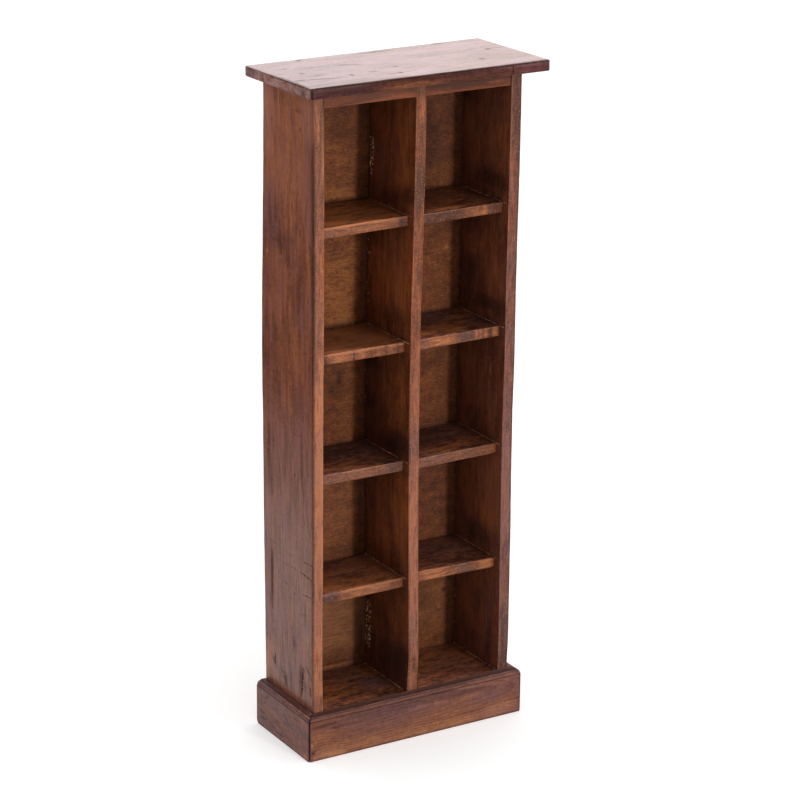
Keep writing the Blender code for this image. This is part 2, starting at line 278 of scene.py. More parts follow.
def makeStain(name, base=None, **changes):
    look = {**plainStain, **(base or {}), **changes}
    look.update({key: rgb(*look[key]) for key in stainColours})
    material = bpy.data.materials.new(name)
    material.use_nodes = True
    bench = NodeBench(material.node_tree)
    shader = material.node_tree.nodes["Principled BSDF"].inputs
    objectPlace = bench.add("ShaderNodeTexCoord").outputs["Object"]
    turn = Vector(look["grain"]).rotation_difference(Vector((0, 0, 1)))  # lays the grain along Z
    grainPlace = bench.add("ShaderNodeMapping", {
        "Vector": objectPlace, "Location": -(turn @ Vector(look["pith"])), "Rotation": turn.to_euler(),
    }).outputs[0]

    def group(tree, **given):  # a socket that isn't given takes its value from the look
        node = bench.add("ShaderNodeGroup", node_tree=tree)
        for socket in node.inputs:
            key = keyOf(socket.name)
            bench.feed(socket, given[key] if key in given else look[key])
        return node.outputs

    def attribute(key):
        return bench.add("ShaderNodeAttribute", attribute_name=key).outputs["Fac"]

    def share(socket, amount):
        return bench.times(socket, look[amount])

    figure = group(figureGroup, vector=grainPlace)
    ageAndShade = group(ageAndShadeGroup, vector=objectPlace, arrisDistance=attribute("arrisDistance"),
                cornerDistance=attribute("cornerDistance"))
    evenTone = look["tone"] - look["ringMiddle"] * look["ringAmount"]
    tone = bench.math("ADD", share(figure["Rings"], "ringAmount"), evenTone)
    for amount, socket in (
        ("blotchAmount", figure["Blotches"]), ("streakAmount", figure["Streaks"]),
        ("fibreAmount", figure["Fibres"]), ("gritAmount", figure["Grit"]), ("mottleAmount", ageAndShade["Mottle"]),
    ):
        tone = bench.timesPlus(bench.math("SUBTRACT", socket, 0.5), look[amount], tone)
    broken = bench.timesPlus(figure["Streaks"], *look["strokeBreak"])
    tone = bench.timesPlus(attribute("tone"), broken, tone)
    bloom = bench.times(figure["Patches"], 2 * look["bloom"])
    bloom = bench.timesPlus(attribute("bloom"), broken, bloom, clamp=True)
    colour = group(rampGroup, tone=tone, bloom=bloom)["Colour"]
    colour = bench.mix(share(figure["Pores"], "poreAmount"), colour, look["poreColour"], "MULTIPLY")
    for socket, amount, over in (
        (figure["Lines"], "lineAmount", "grime"), (ageAndShade["Saw Marks"], "sawAmount", "grime"),
        (ageAndShade["Speckle"], "speckleAmount", "speckle"), (ageAndShade["Wear"], "wearAmount", "worn"),
        # corner darkening: partly grime, partly painted shade in the cubbies' inside corners
        (ageAndShade["Grime"], "grimeAmount", "grime"),
    ):
        colour = bench.mix(share(socket, amount), colour, look[over])
    colour = bench.mix(bench.times(attribute("paleMark"), broken, clamp=True), colour, look["worn"])
    # dark marks: real streaks, scratches and knots, and also painted shadow: the contact line at the plinth's
    # foot, the line under the top's left end and the darkest part of the divider's shadow on the back
    darkMark = bench.times(attribute("darkMark"), broken, clamp=True)
    for fromY, fromZ, toY, toZ, width, strength in look["scratches"]:
        mask = group(
            scratchGroup, vector=bench.vector("MULTIPLY", objectPlace, (0, 1, 1)), width=width / perMetre,
            start=(0, fromY / perMetre, fromZ / perMetre), end=(0, toY / perMetre, toZ / perMetre),
        )["Mask"]
        darkMark = bench.math("MAXIMUM", darkMark, bench.times(mask, strength / perFull))
    colour = bench.mix(darkMark, colour, look["grime"])
    bench.feed(shader["Base Color"], bench.mix(1, colour, (*look["tint"], 1), "MULTIPLY"))

    smoothest = look["roughness"] - look["roughSpread"] / 2
    bench.feed(shader["Roughness"], bench.timesPlus(figure["Streaks"], look["roughSpread"], smoothest))
    height = bench.timesPlus(figure["Fibres"], -0.5, figure["Streaks"])
    bump = bench.add("ShaderNodeBump", {
        "Height": bench.math("SUBTRACT", height, figure["Pores"]),
        "Strength": look["bump"], "Distance": look["bumpDepth"],
    })
    bench.feed(shader["Normal"], bump.outputs[0])
    shader["Specular IOR Level"].default_value = look["gloss"]
    shader["Coat Roughness"].default_value = look["coatRoughness"]
    shader["Coat IOR"].default_value = look["coatIor"]
    if look["varnish"]:
        coat = look["varnish"]
        if look["varnishFoot"]:
            height = bench.add("ShaderNodeSeparateXYZ", {0: objectPlace}).outputs["Z"]
            coat = bench.ease(height, *look["varnishFade"], look["varnishFoot"], coat)
        coat = bench.times(coat, bench.timesPlus(figure["Streaks"], *look["coatBreak"]))
        coat = bench.times(coat, bench.timesPlus(figure["Grit"], look["coatGrit"], 1 - look["coatGrit"] / 2))
        bare = bench.math("MAXIMUM", darkMark, share(figure["Lines"], "lineAmount"))
        coat = bench.times(coat, bench.timesPlus(bare, -look["coatLoss"], 1), clamp=True)
        bench.feed(shader["Coat Weight"], coat)
    return material


print("shader groups ready")


def newShape(name, inputs):  # a geometry tree that shapes a mesh and gives it a material
    inputs = {"Geometry": "Geometry", **inputs, "Material": "Material"}
    return newGroup(name, "GeometryNodeTree", inputs, {"Geometry": "Geometry"})


def finishShape(bench, geometry, given, result):
    real = bench.add("GeometryNodeRealizeInstances", {"Geometry": geometry}).outputs[0]
    finished = bench.add("GeometryNodeSetMaterial", {"Geometry": real, "Material": given["Material"]})
    bench.feed(result["Geometry"], finished.outputs[0])
    return bench.tree


# a board as a fine mesh with rounded, rubbed arrises
def makePlankTree():
    bench, given, result = newShape("plank", {
        "Vector": "Size, Middle, Rounding, Seed", "Int": "Cells X, Cells Y, Cells Z",
        "Float": "Arris, Wear, Unevenness",
    })
    cube = bench.add("GeometryNodeMeshCube", {
        "Size": given["Size"], **{"Vertices " + axis: given["Cells " + axis] for axis in "XYZ"},
    })
    place = bench.add("GeometryNodeInputPosition").outputs[0]
    seeded = bench.vector("ADD", place, given["Seed"])
    rub = bench.math("SUBTRACT", bench.noise(seeded, 45, 3, 0.6), 0.5)
    change = bench.times(rub, bench.times(given["Wear"], 3))
    radius = bench.times(given["Arris"], bench.math("ADD", change, 1))
    drawnIn = bench.scaled(given["Rounding"], radius)
    inner = bench.vector("SUBTRACT", bench.scaled(given["Size"], 0.5), drawnIn)
    core = bench.vector("MAXIMUM", bench.vector("MINIMUM", place, inner), bench.scaled(inner, -1))
    away = bench.vector("SUBTRACT", place, core)
    parts = bench.add("ShaderNodeSeparateXYZ", {0: bench.vector("ABSOLUTE", away)}).outputs
    largest = bench.math("MAXIMUM", bench.math("MAXIMUM", parts[0], parts[1]), parts[2])
    length = bench.math("MAXIMUM", bench.vector("LENGTH", away), 1e-7)
    rounded = bench.vector("ADD", core, bench.scaled(away, bench.math("DIVIDE", largest, length)))
    shaped = bench.add("GeometryNodeSetPosition", {"Geometry": cube.outputs["Mesh"], "Position": rounded})
    wave = bench.times(bench.math("SUBTRACT", bench.noise(seeded, 14, 3), 0.5), given["Unevenness"])
    lift = bench.scaled(bench.add("GeometryNodeInputNormal").outputs[0], wave)
    worn = bench.add("GeometryNodeSetPosition", {"Geometry": shaped.outputs[0], "Offset": lift})
    placed = bench.add("GeometryNodeTransform", {"Geometry": worn.outputs[0], "Translation": given["Middle"]})
    return finishShape(bench, placed.outputs[0], given, result)


plankTree = makePlankTree()


def runTree(name, tree, values, baseMesh=None):  # runs a geometry tree once and keeps the plain mesh
    holder = bpy.data.objects.new(name + "Holder", baseMesh or bpy.data.meshes.new(name + "Holder"))
    bpy.context.scene.collection.objects.link(holder)
    modifier = holder.modifiers.new("tree", "NODES")
    modifier.node_group = tree
    for item in tree.interface.items_tree:
        if item.item_type == "SOCKET" and item.in_out == "INPUT" and keyOf(item.name) in values:
            modifier[item.identifier] = values[keyOf(item.name)]
    evaluated = holder.evaluated_get(bpy.context.evaluated_depsgraph_get())
    mesh = bpy.data.meshes.new_from_object(evaluated)
    mesh.name = name
    bpy.data.objects.remove(holder)
    return mesh


# the cubbies as boxes: the distance to an inside corner is measured in them
cubbies = []
for column, low, high in (("left", innerLeft, dividerLow.x), ("right", dividerHigh.x, innerRight)):
    levels = [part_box(f"shelf_{column}_{number}") for number in (1, 2, 3, 4)]
    floors = [floorTop] + [shelf[1].z for shelf in levels]
    ceilings = [shelf[0].z for shelf in levels] + [caseTop]
    for bottom, top in zip(floors, ceilings):
        cubbies.append(((low, frontPlane, bottom), (high, backFront, top)))
cornerReach, cornerSlack = 0.05, 0.0025
faceAxes = {
    "left": (0, -1), "right": (0, 1), "front": (1, -1), "rear": (1, 1), "under": (2, -1), "upper": (2, 1),
}
faceReach = 0.003
wholeFace = 9000  # half width of a stroke that covers a face


def meshPoints(mesh):
    points = np.empty(len(mesh.vertices) * 3, np.float32)
    mesh.vertices.foreach_get("co", points)
    return points.reshape(-1, 3).astype(float)


def setPoints(mesh, points):
    mesh.vertices.foreach_set("co", points.astype(np.float32).ravel())


def setAttributes(mesh, **channels):
    for name, values in channels.items():
        attribute = mesh.attributes.new(name, "FLOAT", "POINT")
        attribute.data.foreach_set("value", np.asarray(values, np.float32))


def arrisDistances(points, low, high):  # the middle one of the distances to the three nearer faces
    nearer = np.minimum(np.abs(points - np.array(low)), np.abs(np.array(high) - points))
    return np.sort(nearer, axis=1)[:, 1]


# the inside corners these distances find are darkened with grime and painted shade
def cornerDistances(points):  # from a cubby's wall to the nearest other wall of that cubby
    result = np.full(len(points), cornerReach)
    for low, high in cubbies:
        low, high = np.array(low), np.array(high)
        inside = np.all((points > low - cornerSlack) & (points < high + cornerSlack), axis=1)
        near = points[inside]
        walls = np.abs(np.hstack([near - low, high - near])[:, (0, 2, 3, 4, 5)])  # a cubby has no front
        result[inside] = np.clip(np.sort(walls, axis=1)[:, 1], 0, cornerReach)
    return result


# strokes are listed by face and channel: across, along, half width, half length, strength, and lean; a
# strength alone covers the face. A stroke runs up an upright board, and along the length of a level one.
def paint(points, low, high, strokes, upright):
    channels = {key: np.zeros(len(points)) for key in ("tone", "bloom", "darkMark", "paleMark")}
    grain = 2 if upright else 0
    for key, marks in strokes.items():
        face, channel = key.split()
        axis, sign = faceAxes[face]
        along = 1 if axis == grain else grain
        across = 3 - axis - along
        onFace = np.abs(points[:, axis] - (high if sign > 0 else low)[axis]) < faceReach
        for mark in marks:
            if not isinstance(mark, tuple):
                mark = (0, 0, wholeFace, wholeFace, mark)
            middleAcross, middleAlong, width, length = (value / perMetre for value in mark[:4])
            alongAway = points[:, along] - middleAlong
            acrossAway = points[:, across] - middleAcross - sum(mark[5:]) * alongAway
            spread = (alongAway / length) ** 4 + (acrossAway / width) ** 2
            stroke = mark[4] / perFull * np.exp(-np.minimum(spread, 30)) * onFace
            join = np.add if channel in ("tone", "bloom") else np.maximum
            channels[channel] = join(channels[channel], stroke)
    return channels


# how the boards of the old case bow sideways, in millimetres at each height, and how far its top is drawn up
bows = {
    "levels": (0.10, 0.20, 0.30, 0.38, 0.48, 0.56, 0.66, 0.74, 0.84, 0.93, 0.98),
    "leftRear": (-0.3, -1.0, -2.2, -2.6, -3.1, -4.1, -3.4, -2.3, -0.7, 0.1, 0.1),
    "leftFront": (-0.8, -1.0, -0.2, -0.3, -0.1, 0.0, 0.8, 0.8, 1.0, 0.3, 0.0),
    "divider": (3.0, 1.3, -0.1, -1.0, -1.3, -1.1, -0.3, 1.7, 3.4, 4.4, 4.4),
    "innerRight": (0.6, 0.1, -0.5, -1.1, -1.0, 0.2, -0.1, 0.5, 1.3, 1.7, 1.7),
    "outerRight": (1.3, 1.1, 0.9, -0.2, -0.4, 1.0, 0.7, 1.0, 2.2, 2.3, 2.2),
    "fadeFrom": 0.07, "fadeTo": 0.13, "drawnUp": 0.0015, "drawnFrom": 0.93,
}


def caseShift(points):
    x, y, z = points.T
    bow = {key: np.interp(z, bows["levels"], bows[key]) / perMetre
           for key in ("leftRear", "leftFront", "divider", "innerRight", "outerRight")}
    side = np.clip(x / innerRight, -1, 1)
    depth = np.clip((y - frontPlane) / (rearPlane - frontPlane), 0, 1)
    outward = np.clip((x - innerRight) / (caseHigh.x - innerRight), 0, 1)
    left = bow["leftFront"] * (1 - depth) + bow["leftRear"] * depth
    right = bow["innerRight"] * (1 - outward) + bow["outerRight"] * outward
    across = np.abs(side) * np.where(side < 0, left, right) + (1 - np.abs(side)) * bow["divider"]
    fade = np.clip((z - bows["fadeFrom"]) / (bows["fadeTo"] - bows["fadeFrom"]), 0, 1)
    up = bows["drawnUp"] * np.clip((z - bows["drawnFrom"]) / (caseTop - bows["drawnFrom"]), 0, 1)
    return np.stack([across * fade * fade * (3 - 2 * fade), np.zeros(len(z)), up], axis=1)


# gives each face of a board its own stain, by the way the face looks
def stainFaces(mesh, faces):
    normals = np.empty(len(mesh.polygons) * 3, np.float32)
    mesh.polygons.foreach_get("normal", normals)
    axes = [faceAxes[name] for name in faces]
    scores = np.stack([normals.reshape(-1, 3)[:, axis] * sign for axis, sign in axes], axis=1)
    stains = list(dict.fromkeys(faces.values()))
    mesh.materials.clear()
    for material in stains:
        mesh.materials.append(material)
    slotOf = np.array([stains.index(material) for material in faces.values()], np.int32)
    mesh.polygons.foreach_set("material_index", slotOf[scores.argmax(axis=1)])


def finishPiece(name, mesh, nodes, move=caseShift):
    if move:
        points = meshPoints(mesh)
        setPoints(mesh, points + move(points))
    mesh.update()
    piece = bpy.data.objects.new(name, mesh)
    bpy.context.scene.collection.objects.link(piece)
    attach(piece, "root")
    if nodes:
        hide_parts(*nodes)


def smoothBelow(mesh, degrees):  # edges that turn by more than this stay sharp
    mesh.shade_smooth()
    mesh.set_sharp_from_angle(angle=math.radians(degrees))


boardSharpAngle = 50


def makeBoard(node, settings, faces):
    low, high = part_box(node)
    size, middle = high - low, (low + high) / 2
    cells = [max(2, round(length / step)) + 1 for length, step in zip(size, settings["steps"])]
    mesh = runTree(node + "Look", plankTree, dict(
        settings, size=size, middle=middle, cellsX=cells[0], cellsY=cells[1], cellsZ=cells[2],
        material=next(iter(faces.values())),
    ))
    points = meshPoints(mesh)
    setAttributes(
        mesh, arrisDistance=arrisDistances(points, low, high), cornerDistance=cornerDistances(points),
        **paint(points, low, high, settings["strokes"], size.z > size.x),
    )
    stainFaces(mesh, faces)
    rise = (points[:, 2] - low.z) / size.z
    if "settle" in settings:
        atLeft, atRight, atTop = settings["settle"]
        points[:, 2] += atLeft + (atRight - atLeft) * (points[:, 0] - low.x) / size.x + atTop * rise
    if "lean" in settings:
        leanRight, leanBack, leanFoot = settings["lean"]
        acrossX, acrossY = points[:, 0] - middle.x, points[:, 1] - middle.y
        leaning = (leanRight * acrossX + leanBack * acrossY) * (leanFoot + (1 - leanFoot) * rise)
        points[:, 2] += leaning + settings["raise"]
        points[:, 0] -= settings["turn"] * acrossY
        points[:, 1] += settings["turn"] * acrossX + settings["rearReach"] * (acrossY / size.y + 0.5)
    setPoints(mesh, points)
    smoothBelow(mesh, boardSharpAngle)
    finishPiece(node + "Look", mesh, [node], settings.get("move", caseShift))


upright = {
    "steps": (0.0018, 0.0014, 0.003), "rounding": (1, 1, 0),
    "arris": 0.0016, "wear": 0.5, "unevenness": 0.0006,
}
leftSide = dict(upright, seed=(3.1, 0.4, 0.2), strokes={
    "left tone": [(18, 930, 200, 130, 10), (30, 900, 60, 80, 10), (-40, 945, 20, 35, 15),
        (-20, 860, 14, 60, 14), (60, 865, 9, 30, 12), (22, 925, 3, 15, 25), (-13, 780, 12, 20, 10),
        (9, 790, 3, 40, 18), (60, 780, 30, 35, -20), (30, 757, 20, 14, -12), (-27, 740, 10, 30, -12),
        (15, 733, 10, 10, -18), (36, 695, 14, 35, 8), (-10, 690, 14, 30, -18), (70, 690, 18, 20, -6),
        (-37, 770, 4, 40, 25), (-44, 700, 4, 50, 25), (36, 650, 3, 20, 20), (0, 610, 24, 35, 6),
        (66, 600, 30, 36, -14), (-24, 455, 5, 50, -20), (40, 440, 4, 40, -10), (25, 470, 5, 50, -8),
        (64, 400, 5, 30, -20), (-34, 210, 3, 30, -20), (63, 108, 6, 8, -30, 0.5), (40, 100, 9, 9, -20),
        (26, 90, 4, 12, -35), (8, 106, 6, 16, -20), (1, 158, 5, 14, -22), (1, 195, 5, 40, -12),
        (75, 110, 12, 30, 20), (-36, 125, 2, 18, 30), (-38, 180, 8, 25, 10)],
    "left bloom": [(18, 250, 200, 280, 32), (18, 700, 200, 320, 16), (75, 800, 22, 40, 50),
        (60, 765, 25, 20, 25), (-41, 870, 7, 50, 75), (83, 930, 5, 50, 50), (82, 650, 6, 40, 50),
        (-46, 800, 5, 30, 60), (-14, 655, 10, 18, 50), (0, 610, 24, 35, -30), (20, 560, 20, 40, -20),
        (-15, 480, 25, 30, 20), (80, 110, 8, 40, -50), (-42, 280, 8, 120, -30), (50, 160, 6, 40, 20),
        (-26, 300, 3, 120, -20)],
    "left darkMark": [(-53.5, 520, 3, 470, 42), (-49.5, 800, 3.6, 170, 50), (20, 150, 1.2, 50, 35, 0.05),
        (-4, 135, 1.2, 45, 30, -0.1), (34, 135, 1.2, 40, 35, 0.12), (10, 260, 1.2, 50, 25, 0.04),
        (-45, 150, 1.2, 40, 30), (72, 445, 4, 35, 62), (70, 415, 5, 30, 35), (64, 385, 3, 20, 40),
        (66, 245, 4.2, 45, 80), (69, 205, 5, 12, 40), (-22.5, 450, 2.5, 40, 35), (-19.5, 112, 5, 18, 75),
        (-20, 92, 3, 10, 80), (-27, 127, 6, 4, 50), (-32, 105, 4, 6, 50), (-33, 215, 2, 20, 35),
        (62, 110, 3, 6, 50, 0.4), (27, 92, 3, 9, 60), (12, 95, 3, 16, 35), (49, 200, 1.5, 30, 20),
        (45, 757, 10, 2.8, 35), (-18, 928, 2, 3, 60), (64, 927, 3, 3, 45), (5, 764, 2, 3, 50),
        (5, 835, 8, 3, 25), (-14, 952, 10, 3, 30), (0, 160, 4, 6, 40), (-51, 360, 1, 10, 60)],
    "left paleMark": [(74.5, 735, 2.2, 2.5, 60), (74, 441, 2.8, 1.5, 60), (74, 455, 1.6, 1.5, 50),
        (40, 569, 1.5, 4, 30), (44, 955, 1.2, 14, 30), (35, 734, 6, 2, 25), (85, 965, 22, 35, 50),
        (18, 985, 200, 14, 38), (80, 920, 20, 45, 32), (-42, 945, 22, 35, 26), (18, 880, 200, 110, 4)],
    "right tone": [(45, 500, 30, 9000, 10)],
    "front tone": [(-166.8, 500, 1.6, 500, -45), (-153, 940, 3.5, 35, -35), (-160, 945, 2.5, 30, 25),
        (-159, 860, 20, 70, -12), (-159, 300, 20, 320, 15), (-159, 500, 20, 90, 28),
        (-159, 360, 20, 90, 30), (-159, 170, 20, 90, 20), (-156, 85, 6, 12, -30), (-159, 250, 20, 12, -10)],
    "front bloom": [(-153, 930, 3.5, 60, 50), (-159, 660, 20, 50, 15), (-159, 200, 20, 30, 10),
        (-159, 300, 20, 300, 34)],
    "front paleMark": [(-152.5, 905, 2.2, 50, 45)],
})
rightSide = dict(upright, seed=(7.7, 1.4, 0.9), arris=0.001, strokes={
    # the darker strokes 50 mm across, at heights 930, 740 and 375 mm just under the top and the shelves, paint
    # the shadow there on the wall
    "left tone": [4, (0, 220, 9000, 200, 8), (45, 500, 30, 9000, 10), (-10, 820, 45, 12, -30),
        (-35, 865, 20, 45, 10), (-20, 700, 30, 55, 18), (40, 660, 22, 40, -22), (0, 632, 45, 12, -30),
        (35, 703, 6, 4, 35), (-8, 622, 10, 4, 30), (-20, 345, 40, 60, 32), (12, 315, 4, 14, 30),
        (0, 885, 9000, 60, 10), (0, 272, 50, 16, -30), (-27, 110, 11, 35, -30), (35, 455, 20, 12, -20),
        (-35, 205, 12, 20, 12), (0, 95, 50, 15, -12), (50, 930, 30, 12, -20), (50, 740, 30, 14, -20),
        (50, 375, 30, 12, -12)],
    "left bloom": [28, (-35, 860, 20, 50, -20), (-20, 700, 30, 55, -15), (-26, 495, 5, 25, 70),
        (-14, 545, 8, 16, 50), (-27, 115, 10, 40, 60), (-30, 180, 8, 25, 40), (40, 660, 22, 40, 20),
        (0, 272, 50, 16, 25)],
    "left paleMark": [(-20.5, 145, 1, 18, 35), (-17.5, 535, 2.5, 10, 30)],
    "front tone": [-7, (159, 900, 20, 90, -10), (159, 280, 20, 280, 7), (166.5, 500, 1.6, 500, -40),
        (159, 930, 8, 30, -10), (159, 700, 6, 120, 6), (159, 360, 10, 90, 20), (163, 90, 6, 10, -35),
        (159, 120, 20, 50, -12), (154.5, 840, 3, 30, 15)],
    "front bloom": [(159, 230, 20, 300, 62), (159, 620, 20, 120, 15), (159, 880, 20, 120, -22),
        (159, 130, 20, 60, 30)],
    "front darkMark": [(167, 85, 2, 25, 70)],
})
divider = dict(upright, seed=(1.2, 5.4, 0.3), arris=0.0014, unevenness=0.0005, strokes={
    # the darker strokes 55 to 60 mm across, at heights 940, 740, 560 and 350 mm just under the top and the
    # shelves, paint the shadow there on the wall
    "left tone": [(45, 500, 30, 9000, 10), (0, 877, 9000, 85, 10), (-22, 875, 22, 70, 20),
        (-18, 915, 7, 40, 10), (-30, 820, 28, 12, -35), (10, 808, 30, 10, -22), (60, 940, 30, 20, -20),
        (0, 690, 9000, 75, 22), (15, 700, 35, 55, 12), (-30, 700, 20, 70, 12), (0, 638, 60, 14, -16),
        (12, 735, 8, 20, -16), (55, 740, 30, 16, -20), (-30, 530, 22, 55, 16), (50, 500, 24, 80, -20),
        (-20, 452, 36, 14, -40), (0, 438, 60, 10, -30), (55, 560, 30, 20, -20), (0, 330, 9000, 70, 18),
        (-35, 350, 20, 70, 16), (22.5, 352, 2, 22, -40), (55, 350, 16, 45, -18), (20, 262, 40, 12, -12),
        (0, 150, 9000, 80, -8), (0, 100, 70, 26, -22), (-20, 180, 30, 30, 16), (-25, 120, 20, 20, -15)],
    "left bloom": [(40, 845, 25, 45, 35), (45, 500, 25, 60, 30), (55, 340, 16, 50, 40),
        (0, 110, 60, 40, 30), (-20, 452, 36, 14, 30)],
    "left paleMark": [(17.5, 530, 1.2, 32, 45)],
    "front tone": [-10, (0, 830, 20, 160, -8), (0, 280, 20, 250, 17), (0, 945, 6, 18, 30),
        (0, 835, 10, 35, -25), (2, 765, 8, 20, 14), (0, 560, 10, 60, 10), (0, 450, 8, 20, -10),
        (0, 340, 8, 60, 24), (0, 230, 10, 50, 18), (0, 170, 8, 25, -6), (0, 110, 5, 12, -30),
        (7.5, 500, 1.2, 500, -20)],
    "front bloom": [(0, 835, 10, 35, 40), (0, 270, 20, 250, 44), (0, 800, 20, 240, -28),
        (0, 450, 8, 20, 30), (0, 170, 8, 30, 35), (-3, 680, 4, 50, 30)],
})
# scratches: from y and z, to y and z, width, strength
outerLeft = makeStain(
    "outerLeft", pith=(-0.07, 0.03, 0.5), ringSpacing=0.016, ringWander=0.08, ringAmount=-0.08, tone=0.64,
    bloomColour=(104, 62, 58), bloom=0.26, blotchAmount=0.34, blotchWidth=0.01, blotchLength=0.06,
    streakLength=0.06, streakAmount=0.12, fibreLength=0.03, fibreAmount=0.2, gloss=0, wearAmount=0,
    sawAmount=0.4, lineAmount=0.24, grime=(34, 16, 14), varnish=0.05, varnishFoot=0.63,
    varnishFade=(0.26, 0.58), tint=(1.1, 1.15, 1.07), worn=(140, 98, 92), mottleAmount=0.2, gritAmount=0.2,
    scratches=[(30, 295.7, 2, 295, 0.7, 40), (-27.7, 296.2, -54.6, 297.8, 0.9, 85),
        (33.5, 276.3, -10.2, 277.2, 0.8, 50), (-20.3, 278.1, -54.6, 274.8, 1.1, 90),
        (-25, 246.3, -49.9, 247.5, 1, 80), (30.1, 247.5, 17.3, 245.4, 0.8, 60),
        (75.6, 299.6, 50.1, 296.5, 0.7, 60), (-19.5, 213.1, -34.4, 215.9, 0.9, 60),
        (-26.8, 129.9, -22.2, 88.4, 3, 95), (59.3, 123, 57.2, 105.6, 1.8, 90),
        (-34.3, 137.5, -52.2, 120.7, 1.6, 70), (41.8, 105.6, 20.4, 81.3, 1.6, 60),
        (-46.3, 107.3, -49.2, 91.1, 2.2, 80), (29.4, 108.2, 35.7, 93, 1.4, 50),
        (61.9, 283.4, 65.8, 190.4, 2, 65)],
)
outerRight = makeStain(
    "outerRight", pith=(0.3, 0.16, 0.4), varnish=0.2, tone=0.56, ringSpacing=0.016, bloom=0.35,
    bloomColour=(98, 60, 56), blotchAmount=0.32, blotchWidth=0.01, blotchLength=0.06, streakLength=0.06,
    mottleAmount=0.18, gritAmount=0.18, lineAmount=0.28, fibreAmount=0.2,
)
innerFace = makeStain(
    "innerFace", deep=(36, 17, 11), dark=(58, 28, 16), light=(84, 42, 21), pale=(112, 59, 29),
    pith=(0.06, 0.25, 0.2), bloom=0.12, blotchWidth=0.022, blotchLength=0.05, ringAmount=-0.08,
    blotchAmount=0.36, streakAmount=0.26, grimeAmount=0.2, grimeWidth=0.006, mottleAmount=0.18,
    fibreAmount=0.34, gritAmount=0.34, bloomColour=(74, 44, 40), wearAmount=0.1, tint=(1.33, 1.34, 1.28),
)
edgeWood = dict(
    ringSpacing=0.005, blotchWidth=0.006, blotchLength=0.045, streakWidth=0.0024, streakLength=0.03,
    blotchAmount=0.34, streakAmount=0.34, mottleAmount=0.25, speckleAmount=0.35, speckle=(150, 94, 60),
    wearAmount=0.1, grimeAmount=0.2, bloomColour=(92, 60, 54),
)
leftEdge = makeStain(
    "leftEdge", edgeWood, pith=(-0.12, -0.03, 0.1), tone=0.58, bloom=0.12, tint=(1.06, 1.1, 1.05),
    lineAmount=0.06, ringAmount=-0.08,
)
rightEdge = makeStain(
    "rightEdge", edgeWood, pith=(0.2, -0.02, 0.6), bloom=0.35, tone=0.46, tint=(0.97, 0.95, 0.95),
)
dividerEdge = makeStain(
    "dividerEdge", edgeWood, pith=(0.03, -0.02, 0.3), bloom=0.15, tone=0.55, tint=(1.06, 1.04, 0.92),
)
makeBoard("left_side", leftSide, {
    "left": outerLeft, "front": leftEdge, "right": innerFace, "rear": outerRight,
})
makeBoard("right_side", rightSide, {
    "left": innerFace, "front": rightEdge, "right": outerRight, "rear": outerRight,
})
makeBoard("centre_divider", divider, {
    "left": innerFace, "front": dividerEdge, "right": innerFace,
})
print("uprights done")

shelf = {
    "steps": (0.0022, 0.0014, 0.0014), "rounding": (0.3, 1, 1),
    "arris": 0.0014, "wear": 0.5, "unevenness": 0.0004,
}
# how far each shelf has settled from its even place: at its left end, at its right end
settled = {
    "left_1": (-0.0003, 0.0007), "left_2": (0.0002, -0.0006), "left_3": (-0.0003, -0.0008),
    "left_4": (-0.0013, 0.0003), "right_1": (0.0041, 0.0016), "right_2": (-0.0023, -0.0001),
    "right_3": (-0.0015, -0.0002), "right_4": (-0.0016, 0.0003), "floor": (0.0009, 0.0011),
}
